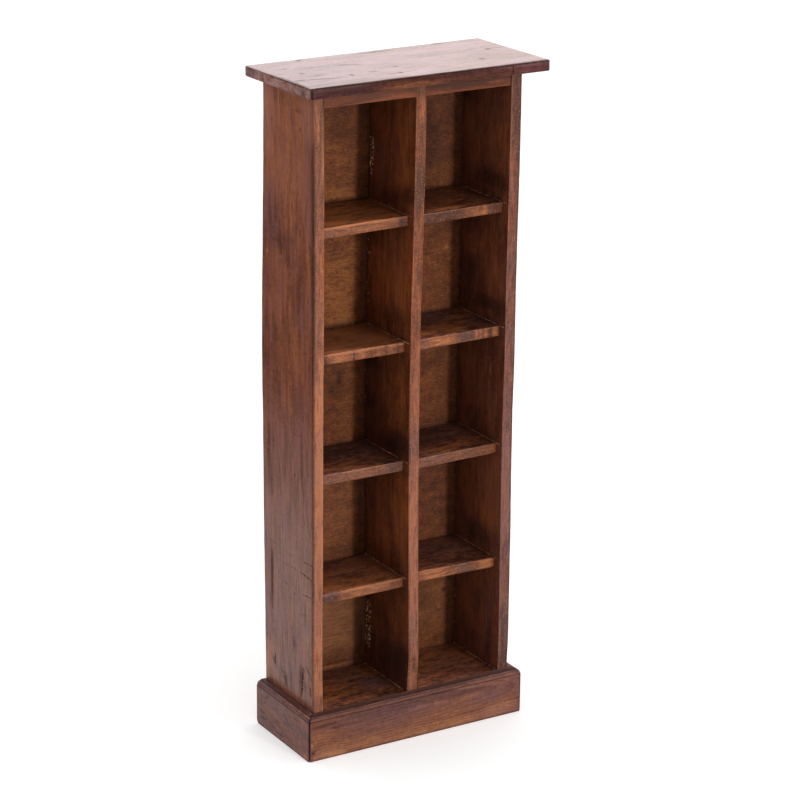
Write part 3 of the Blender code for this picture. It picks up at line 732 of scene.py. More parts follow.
# bands on a shelf's front are listed by their place along X, half width and strength
# the wide darker upper-tone strokes at y -46 to -50 mm, on the floor and on shelves left_1, left_3, right_1 and
# right_3, paint shade on the front strip of the shelf top
shelfStrokes = {
    "left_4": {
        "upper tone": [28, (0, -105, 28, 50, 26), (35, -40, 30, 45, -14), (-30, -100, 8, 60, 20)],
        "upper bloom": [(0, -100, 100, 100, -10)],
        "front tone": [(-110, 30, 10), (-60, 30, 12), (-18, 6, -40), (-11, 3, 10)],
        "front bloom": [(-18, 6, 30), (-135, 12, 20)],
    },
    "left_3": {
        "upper tone": [43, (-5, -85, 28, 55, 26), (-50, -110, 7, 30, -20), (25, -55, 4, 40, -30),
            (45, -55, 15, 30, 12), (-22, -90, 3, 45, -40), (4, -60, 3, 35, -45), (-36, -50, 2, 30, -35),
            (12, -110, 3, 30, -40), (-8, -115, 2, 25, -35)],
        "upper bloom": [(0, -100, 100, 100, 12)],
        "front tone": [(-139, 4, -50), (-113, 14, 25), (-93, 1.5, -50), (-80, 6, 20), (-64, 2, -25),
            (-50, 6, 15), (-40, 1.5, -30), (-32, 4, 20), (-20, 2, -40)],
    },
    "left_2": {
        "upper tone": [-6, (-12, -105, 16, 45, 35), (-36, -75, 8, 35, 25), (40, -50, 35, 60, -16)],
        "upper bloom": [(40, -45, 35, 55, 55), (-30, -50, 10, 50, 20)],
        "front tone": [(-100, 45, 5), (-25, 15, -15)],
        "front bloom": [(-22, 18, 70), (-130, 10, 20), (-90, 60, 30)],
    },
    "left_1": {
        "upper tone": [24, (-48, -80, 10, 60, -25), (-15, -110, 22, 40, 22), (20, -60, 6, 30, 18),
            (0, -50, 10, 40, -12)],
        "upper bloom": [(45, -40, 20, 30, 20), 10],
        "front tone": [(-134, 20, -30), (-70, 40, 22)],
        "front bloom": [(-134, 20, 60), (-50, 20, 10)],
    },
    "right_4": {
        "upper tone": [-7, (-28, 90, 8, 45, 55), (-33, 100, 4, 50, -20), (-5, 80, 10, 50, 18)],
        "upper bloom": [(0, 100, 100, 100, -10)],
        "front tone": [(75, 70, -8), (45, 40, -38), (103, 12, 15), (120, 4, 35), (138, 13, -25)],
        "front bloom": [(75, 70, -50)],
    },
    "right_3": {
        "upper tone": [-4, (-48, 45, 12, 30, -25), (-12, 65, 20, 40, 35), (0, 120, 30, 20, -15)],
        "upper bloom": [(45, 85, 25, 35, 50), (0, 140, 30, 15, 40)],
        "front tone": [(52, 20, 25), (95, 14, -22), (111, 2, 35), (118, 2, 30), (127, 2, 35), (135, 3, -40),
            (143, 4, 30)],
        "front bloom": [(95, 14, 60), (20, 10, 30)],
    },
    "right_2": {
        "upper tone": [-9, (-20, 80, 16, 50, 32), (20, 60, 10, 30, -20)],
        "upper bloom": [(35, 110, 35, 45, 35)],
        "front tone": [(80, 60, -8)],
        "front bloom": [(40, 30, 35), (100, 20, 20)],
    },
    "right_1": {
        "upper tone": [-1, (-46, 60, 10, 30, -20), (0, 115, 15, 25, 14), (-25, 90, 8, 60, -20)],
        "upper bloom": [(30, 100, 40, 50, 35), (55, 135, 15, 12, 40)],
        "front tone": [(43, 22, 38), (98, 13, -12), (136, 12, 40)],
        "front bloom": [(98, 13, 60)],
    },
    "floor": {
        "upper tone": [12, (-46, -70, 14, 90, -24), (15, -100, 30, 40, 22), (-46, 85, 14, 70, -22),
            (10, 80, 50, 60, 29), (-50, -60, 2, 80, -40)],
        "upper bloom": [(0, -35, 20, 24, 75), (40, -50, 30, 30, 30), (0, 80, 60, 60, 24)],
    },
}
frontBand = 30  # half height of a band, taller than the shelf
paleCorner = {"across": 45, "inward": 12, "halfWidth": 45, "halfLength": 30, "strength": 32}
shelfTops = makeStain(
    "shelfTops", grain=(1, 0.05, 0.02), pith=(0, 0.03, -0.06), deep=(38, 20, 14), dark=(58, 31, 20),
    light=(84, 45, 26), pale=(116, 66, 32), ringSpacing=0.014, ringWander=0.06, bloom=0.15,
    bloomColour=(76, 50, 48), ringAmount=-0.06, blotchWidth=0.02, blotchLength=0.04, grimeAmount=0.15,
    grimeWidth=0.004, wearAmount=0, mottleAmount=0.3, gritAmount=0.55, fibreWidth=0.003, fibreLength=0.012,
    fibreAmount=0.45, streakWidth=0.009, streakLength=0.03, streakAmount=0.48, lineAmount=0.45,
)
shelfFronts = makeStain(
    "shelfFronts", edgeWood, grain=(1, 0.02, 0.03), pith=(0, 0.05, -0.3), tone=0.54,
    tint=(0.9, 0.93, 0.84), bloom=0.15, wearAmount=0.2, blotchAmount=0.2, streakAmount=0.22,
    gritAmount=0.25,
)


# the bands at the shelf's height, and its top made paler in the rear corner at each right end
def shelfMarks(key, height, ends):
    marks = dict(shelfStrokes[key])
    for channel in ("front tone", "front bloom"):
        marks[channel] = [(height * perMetre, x, frontBand, *rest) for x, *rest in marks.get(channel, [])]
    across, inward, *rest = paleCorner.values()
    marks["upper tone"] = marks["upper tone"] + [(across, x * perMetre - inward, *rest) for x in ends]
    return marks


shelfFaces = {"front": shelfFronts, "upper": shelfTops, "under": shelfTops}
for column, side in (("left", 0), ("right", 1)):
    for number in (1, 2, 3, 4):
        key = f"{column}_{number}"
        low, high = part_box("shelf_" + key)
        makeBoard("shelf_" + key, dict(
            shelf, seed=(0.3 + number, 2.2 + side, 4.1), settle=(*settled[key], 0),
            strokes=shelfMarks(key, (low.z + high.z) / 2, [high.x]),
        ), shelfFaces)
makeBoard("floor_board", dict(
    shelf, rounding=(0, 0, 0), seed=(9.3, 1.2, 0.1), settle=(*settled["floor"], 0),
    strokes=shelfMarks("floor", floorTop, [dividerLow.x, innerRight]),
), shelfFaces)

rail = dict(
    shelf, steps=(0.0025, 0.0018, 0.0016), arris=0.0010, seed=(4.4, 0.1, 0.8), move=None,
    settle=(-0.0004, 0.0006, 0.0013),
    strokes={
        # the darker stroke at z 978 mm along the whole rail paints the shadow of the top board's overhang
        "front tone": [(966, 0, 3.5, 130, 18), (978, 0, 6, 200, -15), (975, 80, 20, 90, -16),
            (972, 125, 2, 16, 35), (974, -80, 20, 70, 8)],
        "front bloom": [(980, 50, 4, 100, 10), (975, 100, 20, 80, -20)],
    },
)
railFace = makeStain(
    "railFace", grain=(1, 0.01, 0.01), pith=(0, -0.01, 0.9), tint=(0.92, 0.77, 0.58), ringSpacing=0.006,
)
makeBoard("top_rail", rail, {"front": railFace, "under": railFace})

backPanel = {
    "steps": (0.003, 0.0018, 0.0025), "rounding": (0, 0, 0), "seed": (2.4, 0.1, 5.8),
    "arris": 0.0005, "wear": 0.0, "unevenness": 0.0006,
    "strokes": {
        # the darker strokes at x -16 and 143 mm, by the divider and the right side, paint the shadow those
        # walls cast on the back, the lighter ones at x -26 and -37 mm paint the softer edge of that shadow, and
        # the darker one at x -62 mm, z 915 mm paints shade under the top
        "front tone": [(-80, 875, 70, 80, 14), (-55, 807, 24, 8, 40), (-70, 905, 18, 30, 12),
            (-45, 930, 10, 30, -10), (-60, 830, 20, 10, -15), (-80, 690, 70, 80, 16),
            (-55, 660, 26, 50, 18), (-60, 617, 30, 7, 15), (-52, 530, 2, 12, -40), (-66, 512, 3, 6, -35),
            (-60, 437, 22, 7, 14), (-80, 510, 70, 80, -9), (-50, 258, 35, 12, -20), (-70, 380, 30, 30, 6),
            (-80, 140, 70, 60, 16), (-80, 330, 70, 80, 14), (-60, 88, 35, 12, -25), (-65, 115, 6, 6, -20),
            (80, 875, 70, 80, -31), (80, 510, 40, 80, -2), (80, 330, 70, 80, -5), (102, 920, 12, 30, 16),
            (90, 895, 7, 22, -20), (110, 818, 28, 16, 18), (80, 690, 70, 80, -1), (115, 660, 28, 60, 6),
            (127, 702, 4, 3, 45), (120, 140, 16, 40, 14), (131, 159, 3, 4, -60), (95, 150, 8, 12, -20),
            (80, 150, 70, 80, -7), (-16, 500, 14, 9000, -18), (-26, 690, 4, 60, 16), (-26, 505, 4, 60, 24),
            (143, 500, 12, 9000, -16), (-37, 500, 14, 260, 14), (-62, 915, 26, 45, -26),
            (87, 850, 22, 45, -14), (50, 130, 20, 40, -15)],
        "front bloom": [(80, 875, 70, 80, -30), (80, 330, 70, 80, 25), (-80, 330, 70, 80, 20)],
        "front paleMark": [(-80, 145, 70, 50, 42), (80, 145, 70, 50, 15), (-80, 330, 70, 60, 10),
            (-70, 73.5, 45, 1.6, 40)],
        # the dark marks at x -15 to -19 mm paint the darkest part of the divider's shadow on the back
        "front darkMark": [(-78, 78, 50, 1.2, 55), (-52, 527, 1.8, 10, 50), (-56, 520, 1.5, 6, 40),
            (-19, 135, 10, 20, 40), (-16.5, 110, 4.5, 35, 70), (-16.3, 310, 4.5, 50, 50),
            (-16.7, 685, 4, 60, 40), (-64, 124, 26, 0.9, 45), (-60, 149, 30, 0.8, 30),
            (-70, 157, 24, 0.8, 28), (-66, 106, 25, 0.8, 25), (-15, 930, 9, 30, 35), (131, 159, 2.2, 3, 70),
            (133, 845, 4, 10, 40)],
    },
}
plyLook = dict(
    grain=(1, 0.02, 0.04), pith=(0, 0.2, 0.3), tint=(1.1, 0.9, 0.72), deep=(50, 28, 18), dark=(74, 43, 25),
    light=(94, 57, 32), pale=(120, 80, 46), ringSpacing=0.03, ringAmount=-0.06, blotchWidth=0.016,
    blotchLength=0.03, blotchAmount=0.3, streakWidth=0.002, streakLength=0.016, streakAmount=0.18,
    fibreLength=0.007, fibreAmount=0.3, gritAmount=0.35, mottleAmount=0.28, poreAmount=0.4,
    lineAmount=0.15, bloom=0.06, roughness=0.6, gloss=0.1, grime=(34, 17, 10), grimeWidth=0.006,
    grimeAmount=0.6, wearAmount=0, worn=(120, 92, 72),
)
plyFace = makeStain("plyFace", plyLook)
# never varnished, so its long grain shows
plyRear = makeStain(
    "plyRear", plyLook, tone=0.6, tint=(1.1, 1, 0.9), blotchAmount=0.16, blotchWidth=0.02,
    blotchLength=0.16, streakWidth=0.003, streakLength=0.09, streakAmount=0.26, fibreLength=0.03,
    gritAmount=0.12, mottleAmount=0.08, ringAmount=-0.14, grimeAmount=0,
)
makeBoard("back_panel", backPanel, {"front": plyFace, "rear": plyRear})
print("shelves and back done")

topBoard = {
    "steps": (0.002, 0.0011, 0.0016), "rounding": (1, 1, 1), "seed": (6.3, 1.1, 2.2),
    "arris": 0.0015, "wear": 0.6, "unevenness": 0.0006,
    "move": None, "turn": 0.013, "rearReach": 0.004, "raise": 0.0015,
    "lean": (0.0052, -0.0087, 0.6),  # to the right, to the back, and the share of it that the underside takes
    "strokes": {
        "upper darkMark": [(4, -153, 4, 3.5, 100), (-39, -99, 4, 3.5, 90), (-38, 114, 4, 4.5, 100),
            (-59, -33, 3.5, 4, 90), (-60, -44, 2.5, 12, 60), (-58, -20, 2, 14, 40),
            (-41, -150, 2.8, 22, 80, -0.24), (-36, -178, 6, 11, 60), (22, -69, 2.8, 20, 85, -0.35),
            (-45, -126, 3, 4, 60), (33, -118, 3, 22, 40, -0.2), (40, -161, 4, 8, 45), (-16, -138, 5, 9, 45),
            (-24, -152, 3, 16, 30), (14, -181, 4, 8, 35), (-35, -62, 4, 6, 60), (-75, -172, 3, 20, 40),
            (-55, -152, 3, 10, 30), (0, -178, 200, 45, 7), (-85, -75, 4, 50, 30), (30, -115, 3, 30, 25),
            (16, 160, 4, 4.5, 90), (19, 178, 2.5, 15, 55), (79, 8, 3, 32, 60), (80, 9, 3, 5, 80),
            (86, 118, 5, 10, 80), (81, -113, 4, 5, 80), (-21, -18, 4, 3.5, 60), (-20, -30, 2, 10, 30),
            (-36, -63, 4, 6, 35), (-19, -140, 6, 16, 25), (-36, -6, 2.5, 12, 50), (-56, 36, 3, 14, 40),
            (13, 40, 2, 10, 40), (16, 65, 2, 30, 25), (0, 72, 3, 4, 40), (39, -161, 3, 6, 30),
            (11, -170, 2, 18, 30), (-45, -125, 2, 12, 40), (-31, 164, 3, 8, 25), (-47, 90, 2, 20, 20),
            (-89, 0, 2.2, 300, 95), (-85, -130, 3, 60, 35), (-85, 140, 3, 60, 40),
            (-35, -190.5, 55, 2.4, 75), (-77, -120, 1.4, 30, 45), (-72, -165, 1.4, 22, 45),
            (-68, -110, 1.4, 26, 35), (-80, -60, 1.4, 30, 35), (-76, 30, 1.4, 40, 25)],
        "upper bloom": [(-30, -120, 20, 50, 20), (50, 50, 20, 80, 20)],
        "upper tone": [(-50, 100, 20, 60, 10), (30, -100, 15, 50, -8), (-60, -150, 30, 50, -12),
            (-30, 130, 35, 60, -6)],
        "front tone": [(996, 0, 5, 200, -16), (992, -150, 12, 60, -16), (988, -10, 4, 90, 20),
            (992, 60, 12, 70, -12), (986, -20, 2, 30, 25)],
        "front paleMark": [(997, -150, 3, 50, 12), (996.5, 150, 2, 40, 12)],
        "front bloom": [(995, 0, 6, 200, 30), (992, -150, 12, 60, 40), (988, 30, 4, 100, -10),
            (992, 172, 14, 35, 50)],
        "front darkMark": [(999.5, 0, 1, 200, 70), (992, 130.5, 12, 1.2, 80), (992, -192.5, 12, 1.5, 70)],
        "left bloom": [(992, -30, 20, 200, 30)],
        "left tone": [(992, -55, 20, 30, -14), (992, 80, 20, 22, -30)],
        # the dark mark at z 985.3 mm, along the underside edge of the left end, paints the shadow line under
        # the board
        "left darkMark": [(998.8, -30, 1, 60, 80), (992, -89.3, 12, 1.6, 80), (985.3, -40, 1, 50, 50)],
        "left paleMark": [(990, -35, 6, 1, 50), (990, 35, 6, 1, 40)],
    },
}
topFace = makeStain(
    "topFace", grain=(1, 0.02, 0), pith=(0, 0.01, 0.9), ringSpacing=0.02, ringWander=0.1, varnish=1,
    gloss=0.1, coatIor=1.85, roughness=0.3, bloom=0.6, bloomColour=(130, 88, 88), tone=0.62, wearAmount=0,
    grime=(34, 18, 18), streakWidth=0.004, streakLength=0.08, fibreLength=0.03, lineAmount=0.45,
    gritAmount=0.3, coatGrit=0.36, mottleAmount=0.2,
)
topEdge = makeStain(
    "topEdge", grain=(1, 0.01, 0), pith=(0, -0.06, 0.97), ringSpacing=0.006, tone=0.42, bloom=0.25,
    tint=(0.67, 0.76, 0.68), bloomColour=(92, 52, 56), streakWidth=0.003, wearAmount=0.1, gloss=0.02,
    worn=(150, 108, 102), mottleAmount=0.3, gritAmount=0.3,
)
endLook = dict(
    grain=(1, 0, 0.02), speckleAmount=0.4, speckle=(140, 108, 96), tone=0.55, bloom=0.62, gloss=0.02,
    bloomColour=(138, 101, 98), tint=(1.2, 1.25, 1.25), wearAmount=0, blotchWidth=0.012, streakWidth=0.004,
    mottleAmount=0.25, gritAmount=0.25, worn=(160, 124, 112), grime=(40, 24, 22),
)
topEnd = makeStain("topEnd", endLook, tint=(1.13, 1.17, 1.17))
rightEnd = makeStain(
    "rightEnd", endLook, bloom=0.3, bloomColour=(104, 68, 66), tint=(0.8, 0.8, 0.78), mottleAmount=0.12,
)
makeBoard("top_board", topBoard, {
    "upper": topFace, "front": topEdge, "rear": topEdge, "under": topEdge, "left": topEnd, "right": rightEnd,
})

# plinth boards: the moulded section is swept along each board, and shears at a mitre
plinth = {
    "ledge": 0.0085, "step": 0.0012, "mouldingHeight": 0.0072, "fillet": 0.0007, "groove": 0.0005,
    "footArris": 0.0010, "footEdge": 0.004, "cornerArris": 0.0026, "endArris": 0.0014, "worn": 0.0075,
    "faceStep": 0.0016, "alongStep": 0.003, "cornerStep": 0.0006, "cornerSteps": 14, "footSteps": 4,
    "ovoloSteps": 10, "gap": 0.0003, "sharpAngle": 40, "rightReach": 0.0012, "raise": 0.0012,
    "heightKept": 0.02,  # share of its height that a point at a worn end keeps, so that no two points meet
    # points round the shoulder and round the ledge's edge: distance out and height from them
    "shoulderEdges": ((-0.0002, -0.0002), (-0.0008, -0.0001)),
    "ledgeEdges": ((0.0001, -0.0003), (-0.0004, 0)),
    # places across the ledge and the share of the groove's depth there
    "ledgePlaces": ((0.62, 0), (0.56, 1), (0.5, 0), (0.38, 0), (0.2, 0), (0.12, 0.6), (0.05, 0)),
    "mitreDark": 0.5, "mitreDarkWidth": 0.0024, "mitreDarkFrom": 0.0005,
    "mitreBloom": 0.5, "mitreBloomWidth": 0.005,
    # dark lines paint shade along the moulding's steps, groove and shoulder, light lines paint highlights on
    # its edges: distance out, height below the top, width, strength
    "lines": [(4, 0, 7, -30), (1, 0, 1, -50), (3, 0, 0.8, 50), (4.6, 0.4, 0.7, -55), (6.2, 0, 0.7, 50),
        (8.7, 1, 0.9, -65), (10.5, 2, 1, 32), (12.8, 4, 1.2, -14), (15, 7.2, 0.8, -50)],
    "frontStrokes": {
        "upper tone": [-34],
        "front bloom": [(56, -20, 10, 150, 46), (30, 0, 30, 200, 8), (35, 115, 10, 30, 45),
            (45, 150, 8, 30, 30)],
        "front tone": [(56, -20, 10, 150, -16), (12, 0, 10, 160, 14), (13, 145, 8, 25, 30),
            (55, 120, 6, 50, 14), (5, 0, 4, 180, 12), (30, -160, 20, 15, 6), (52, -155, 3, 20, -30),
            (46, -125, 1.5, 30, -25), (46, 13, 2.2, 32, 30), (44, 93, 4, 26, 15), (53, 93, 2.8, 28, -20),
            (60, 93, 1.8, 30, 26), (7, -145, 6, 24, 20), (19, 90, 1.6, 30, -22)],
        # the dark mark 1.5 mm above the foot, along the whole board, paints the contact shadow at the foot
        "front darkMark": [(35, 181.5, 40, 2.2, 90), (13, -175.5, 3, 2.5, 60), (1.5, 0, 1.2, 200, 50),
            (50, 85, 0.8, 30, 30)],
        "front paleMark": [(7, -150, 7, 20, 22), (25, -177.5, 4, 2, 60), (30, -172, 3, 1.5, 40),
            (4, -172, 3, 4, 50)],
    },
    "leftStrokes": {
        "upper tone": [16],
        "upper bloom": [25],
        # the dark mark 1.5 mm above the foot, along the whole board, paints the contact shadow at the foot
        "left darkMark": [(12, -55, 1.2, 12, 50, 0.3), (52, 60, 1.2, 14, 50, -0.5),
            (40, 68, 1.5, 10, 50, -0.6), (60, 80, 4, 3, 30), (22, 30, 1, 20, 30, -0.2),
            (34, 0, 1.1, 25, 35, -0.3), (48, 20, 1.1, 30, 35, -0.3), (18, 60, 1.1, 20, 35, -0.25),
            (56, -30, 1, 20, 30), (1.5, 0, 1.2, 200, 50)],
        "left tone": [(4, 20, 4, 100, 15), (45, 30, 8, 30, 8), (6, -60, 5, 12, 25)],
        "left bloom": [(30, 30, 20, 50, 15), (30, 0, 50, 200, 12)],
    },
}
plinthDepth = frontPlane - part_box("plinth_front")[0].y


def quarter(out, up, width, height, start, steps):  # points on a quarter of an ellipse
    angles = [start + math.pi / 2 * step / steps for step in range(steps + 1)]
    return [(out + width * math.cos(angle), up + height * math.sin(angle)) for angle in angles]


def plinthSection():  # distance out from the case, then height, from the inner foot round to the ledge
    shoulder, crown = plinthTop - plinth["mouldingHeight"], plinthTop - plinth["step"]
    ledge, foot, groove = plinth["ledge"], plinth["footArris"], plinth["groove"]
    width = plinthDepth - plinth["fillet"] - ledge
    section = [(0, 0), (plinthDepth - foot - plinth["footEdge"], 0)]
    section += quarter(plinthDepth - foot, foot, foot, foot, -math.pi / 2, plinth["footSteps"])
    faceCells = round((shoulder - foot) / plinth["faceStep"])
    section += [(plinthDepth, foot + (shoulder - foot) * cell / faceCells) for cell in range(1, faceCells)]
    section += [(plinthDepth + out, shoulder + up) for out, up in plinth["shoulderEdges"]]
    section += quarter(ledge, shoulder, width, crown - shoulder, 0, plinth["ovoloSteps"])
    section += [(ledge + out, plinthTop + up) for out, up in plinth["ledgeEdges"]]
    section += [(ledge * out, plinthTop - groove * sunk) for out, sunk in plinth["ledgePlaces"]]
    return section + [(0, plinthTop)]


def arcInset(radius, distance):  # how far a round corner draws in, at a distance from the corner
    near = np.clip(radius - distance, 0, radius)
    return radius - math.sqrt(max(radius * radius - near * near, 0))


def alongStations(length):  # fine steps near both ends, where the corners are round
    fine = [plinth["cornerStep"] * count for count in range(plinth["cornerSteps"])]
    start = fine.pop()
    middle = np.linspace(start, length - start, max(2, round((length - 2 * start) / plinth["alongStep"])) + 1)
    return fine + list(middle) + [length - place for place in reversed(fine)]


def plinthShift(points):  # the plinth reaches a little past the case at the right, and stands a little higher
    across = plinth["rightReach"] * np.clip(points[:, 0] / innerRight, 0, 1)
    return np.stack([across, np.zeros(len(points)), plinth["raise"] * points[:, 2] / plinthTop], axis=1)


def makePlinthBoard(node, outward, start, end, mitredEnd, stain, strokes):  # the start is always mitred
    outward, start, end = Vector(outward), Vector(start), Vector(end)
    along, length = (end - start).normalized(), (end - start).length
    gap, kept = plinth["gap"], plinth["heightKept"]
    outer = length + plinthDepth * (1 + mitredEnd)  # the length at the outer face
    section, shape, rings, marks = plinthSection(), bmesh.new(), [], []
    for station in alongStations(outer):
        ends = ((True, station), (mitredEnd, outer - station))
        corner = max(arcInset(plinth["cornerArris"], away) if mitred else 0 for mitred, away in ends)
        lift = max(arcInset(plinth["endArris"] if mitred else plinth["worn"], away) for mitred, away in ends)
        place = min(away if mitred else 1 for mitred, away in ends)
        ring = []
        for out, up in section:
            share = min(1, out / plinthDepth) ** 3
            reach = out - corner * share
            low = gap / 2 - reach
            high = length + reach - gap / 2 if mitredEnd else length
            away = low + (high - low) * station / outer
            raised = max(up, (1 - kept) * lift * share + kept * up) if up < plinth["worn"] else up
            ring.append(shape.verts.new(start + outward * reach + along * away + Vector((0, 0, raised))))
            marks.append((out, up, place))
        rings.append(ring)
    for first, second in zip(rings, rings[1:]):
        for index in range(len(section)):
            following = (index + 1) % len(section)
            shape.faces.new((first[index], first[following], second[following], second[index]))
    shape.faces.new(rings[0])
    shape.faces.new(list(reversed(rings[-1])))
    bmesh.ops.recalc_face_normals(shape, faces=shape.faces)
    mesh = bpy.data.meshes.new(node + "Look")
    shape.to_mesh(mesh)
    shape.free()
    points = meshPoints(mesh)
    low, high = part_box(node)
    channels = paint(points, low, high, strokes, False)
    outs, ups, places = np.array(marks).T
    # painted shade and painted highlights along the moulding, added to the tone
    for out, below, width, strength in plinth["lines"]:
        away = np.hypot(outs - out / perMetre, ups - (plinthTop - below / perMetre))
        channels["tone"] += strength / perFull * np.exp(-(away / (width / perMetre)) ** 2)
    dark = plinth["mitreDark"] * np.exp(-(places / plinth["mitreDarkWidth"]) ** 2)
    channels["darkMark"] = np.maximum(channels["darkMark"], dark * (ups > plinth["mitreDarkFrom"]))
    channels["bloom"] += plinth["mitreBloom"] * np.exp(-(places / plinth["mitreBloomWidth"]) ** 2)
    setAttributes(mesh, arrisDistance=arrisDistances(points, low, high),
                  cornerDistance=np.full(len(points), cornerReach), **channels)
    mesh.materials.append(stain)
    smoothBelow(mesh, plinth["sharpAngle"])
    finishPiece(node + "Look", mesh, [node], plinthShift)


plinthFace = makeStain(
    "plinthFace", grain=(1, 0.085, 0), pith=(0.02, frontPlane - 0.001, 0.036), ringSpacing=0.0042,
    ringWander=0.01, ringAmount=-0.26, bloom=0.25, tint=(0.91, 1.19, 1.46), tone=0.6, wearAmount=0.1,
    streakAmount=0.12, streakWidth=0.003, blotchAmount=0.14, blotchLength=0.16, lineAmount=0.25,
    fibreAmount=0.12, gloss=0.03, mottleAmount=0.18,
)
plinthEnds = makeStain(
    "plinthEnds", grain=(0.02, 1, 0.25), pith=(-0.12, 0, 0.1), ringSpacing=0.012, varnish=0.3, bloom=0.5,
    tone=0.52, tint=(1.44, 1.56, 1.74), wearAmount=0, streakLength=0.03, gloss=0.04, blotchAmount=0.18,
    mottleAmount=0.3, gritAmount=0.25,
    scratches=[(84, 26.6, 65.1, 24.4, 1.2, 80), (76.3, 16.7, 62.1, 15, 1.4, 70),
        (27.8, 10.2, 3.1, 10.6, 1.2, 80), (4.4, 43.9, -9.3, 40.6, 0.9, 60), (-21.4, 27, -39.6, 23.2, 1, 60),
        (-21.5, 52.7, -42.7, 53.3, 1, 60), (49.6, 16, 30.9, 15.4, 1.3, 60)],
)
plinthFront = frontPlane - plinth["gap"]
plinthLeft, plinthRight = caseLow.x - plinth["gap"], caseHigh.x + plinth["gap"]
makePlinthBoard("plinth_front", (0, -1, 0), (caseLow.x, plinthFront, 0), (caseHigh.x, plinthFront, 0),
                True, plinthFace, plinth["frontStrokes"])
makePlinthBoard("plinth_left", (-1, 0, 0), (plinthLeft, frontPlane, 0), (plinthLeft, rearPlane, 0),
                False, plinthEnds, plinth["leftStrokes"])
makePlinthBoard("plinth_right", (1, 0, 0), (plinthRight, frontPlane, 0), (plinthRight, rearPlane, 0),
                False, plinthEnds, {})
print("top and plinth done")


# nails, crumbs and beads: a geometry tree runs over a plain mesh of points, faces or edges
def makeDetail(name, tree, settings, material, base, move=caseShift, smooth=True):
    mesh = runTree(name, tree, dict(settings, material=material), base)
    if smooth:
        mesh.shade_smooth()
    finishPiece(name, mesh, [], move)


def plainMesh(name, points, edges=(), faces=()):
    mesh = bpy.data.meshes.new(name)
    mesh.from_pydata(points, edges, faces)
    return mesh


# filled nail heads: places on the sides (y, z), on the plinth's front (x, z) and on its ends (y, z)
nails = {
    "size": (0.0022, 0.0015, 0.0003), "sides": 14, "rings": 6, "variation": 0.15, "seed": 4,
    "sideSpots": ((-0.0059, 0.7869), (0.0035, 0.6011), (-0.0028, 0.4211), (-0.0007, 0.2378)),
    "frontSpots": ((-0.156, 0.0326), (0.1606, 0.0343)),
    "endSpots": ((0.0078, 0.0475),),
}


def makeNailTree():
    bench, given, result = newShape("nailHeads", {
        "Vector": "Size", "Int": "Sides, Rings, Seed", "Float": "Variation",
    })
    outward = bench.named("outward", "FLOAT_VECTOR")
    turned = bench.add("FunctionNodeAlignRotationToVector", {"Vector": outward}, axis="Z")
    least, most = (bench.math(operation, 1, given["Variation"]) for operation in ("SUBTRACT", "ADD"))
    head = bench.add("GeometryNodeMeshUVSphere", {
        "Segments": given["Sides"], "Rings": given["Rings"], "Radius": 1,
    })
    heads = bench.add("GeometryNodeInstanceOnPoints", {
        "Points": bench.add("GeometryNodeMeshToPoints", {"Mesh": given["Geometry"]}).outputs[0],
        "Instance": head.outputs["Mesh"], "Rotation": turned.outputs[0],
        "Scale": bench.scaled(given["Size"], bench.random("FLOAT", least, most, given["Seed"])),
    })
    return finishShape(bench, heads.outputs[0], given, result)


nailTree = makeNailTree()
nailFiller = makeStain(
    "nailFiller", deep=(26, 12, 10), dark=(44, 22, 18), light=(66, 36, 30), pale=(96, 56, 46),
    wearAmount=0, grimeAmount=0, tone=0.25, gloss=0.1, mottleAmount=0.4,
)


def makeNails(name, spots, move):  # each spot is a place and the way its face looks
    places, outwards = zip(*spots)
    base = plainMesh(name + "Spots", places)
    attribute = base.attributes.new("outward", "FLOAT_VECTOR", "POINT")
    attribute.data.foreach_set("vector", np.ravel(outwards).astype(np.float32))
    makeDetail(name, nailTree, nails, nailFiller, base, move)


def onBothSides(leftX, rightX, spots):
    return [((x, y, z), (way, 0, 0)) for x, way in ((leftX, -1), (rightX, 1)) for y, z in spots]


makeNails("sideNails", onBothSides(caseLow.x, caseHigh.x, nails["sideSpots"]), caseShift)
frontNails = [((x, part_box("plinth_front")[0].y, z), (0, -1, 0)) for x, z in nails["frontSpots"]]
endNails = onBothSides(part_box("plinth_left")[0].x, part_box("plinth_right")[1].x, nails["endSpots"])
makeNails("plinthNails", frontNails + endNails, plinthShift)

# crumbs of dried glue on the walls near the back
crumbs = {
    # x of the wall, low y, high y, low z, high z, crumbs in a square metre
    "patches": (
        (dividerLow.x, 0.059, 0.07, 0.828, 0.884, 240000),
        (dividerLow.x, 0.055, 0.0705, 0.095, 0.172, 190000),
        (dividerLow.x, 0.064, 0.07, 0.62, 0.76, 25000), (innerRight, 0.062, 0.07, 0.925, 0.955, 60000),
        (innerRight, 0.066, 0.0705, 0.1, 0.16, 30000), (dividerLow.x, 0.066, 0.0705, 0.44, 0.57, 12000),
    ),
    "smallest": 0.0004, "largest": 0.0010, "seed": 11,
}


def makeCrumbTree():
    bench, given, result = newShape("glueCrumbs", {"Float": "Smallest, Largest", "Int": "Seed"})
    seed = given["Seed"]
    crowd = bench.named("crowd", "FLOAT")
    clump = bench.ease(bench.noise(bench.add("GeometryNodeInputPosition").outputs[0], 160, 2), 0.42, 0.6)
    spread = bench.add("GeometryNodeDistributePointsOnFaces", {
        "Mesh": given["Geometry"], "Density": bench.times(crowd, clump), "Seed": seed,
    })
    crumb = bench.add("GeometryNodeMeshIcoSphere", {"Radius": 1, "Subdivisions": 1})
    size = bench.random("FLOAT", given["Smallest"], given["Largest"], seed)
    placed = bench.add("GeometryNodeInstanceOnPoints", {
        "Points": spread.outputs["Points"], "Instance": crumb.outputs["Mesh"],
        "Rotation": bench.random("FLOAT_VECTOR", (0, 0, 0), (6.3, 6.3, 6.3), seed),
        "Scale": bench.scaled(bench.random("FLOAT_VECTOR", (0.6, 0.7, 0.5), (1.2, 1.9, 1.1), seed), size),
    })
    return finishShape(bench, placed.outputs[0], given, result)


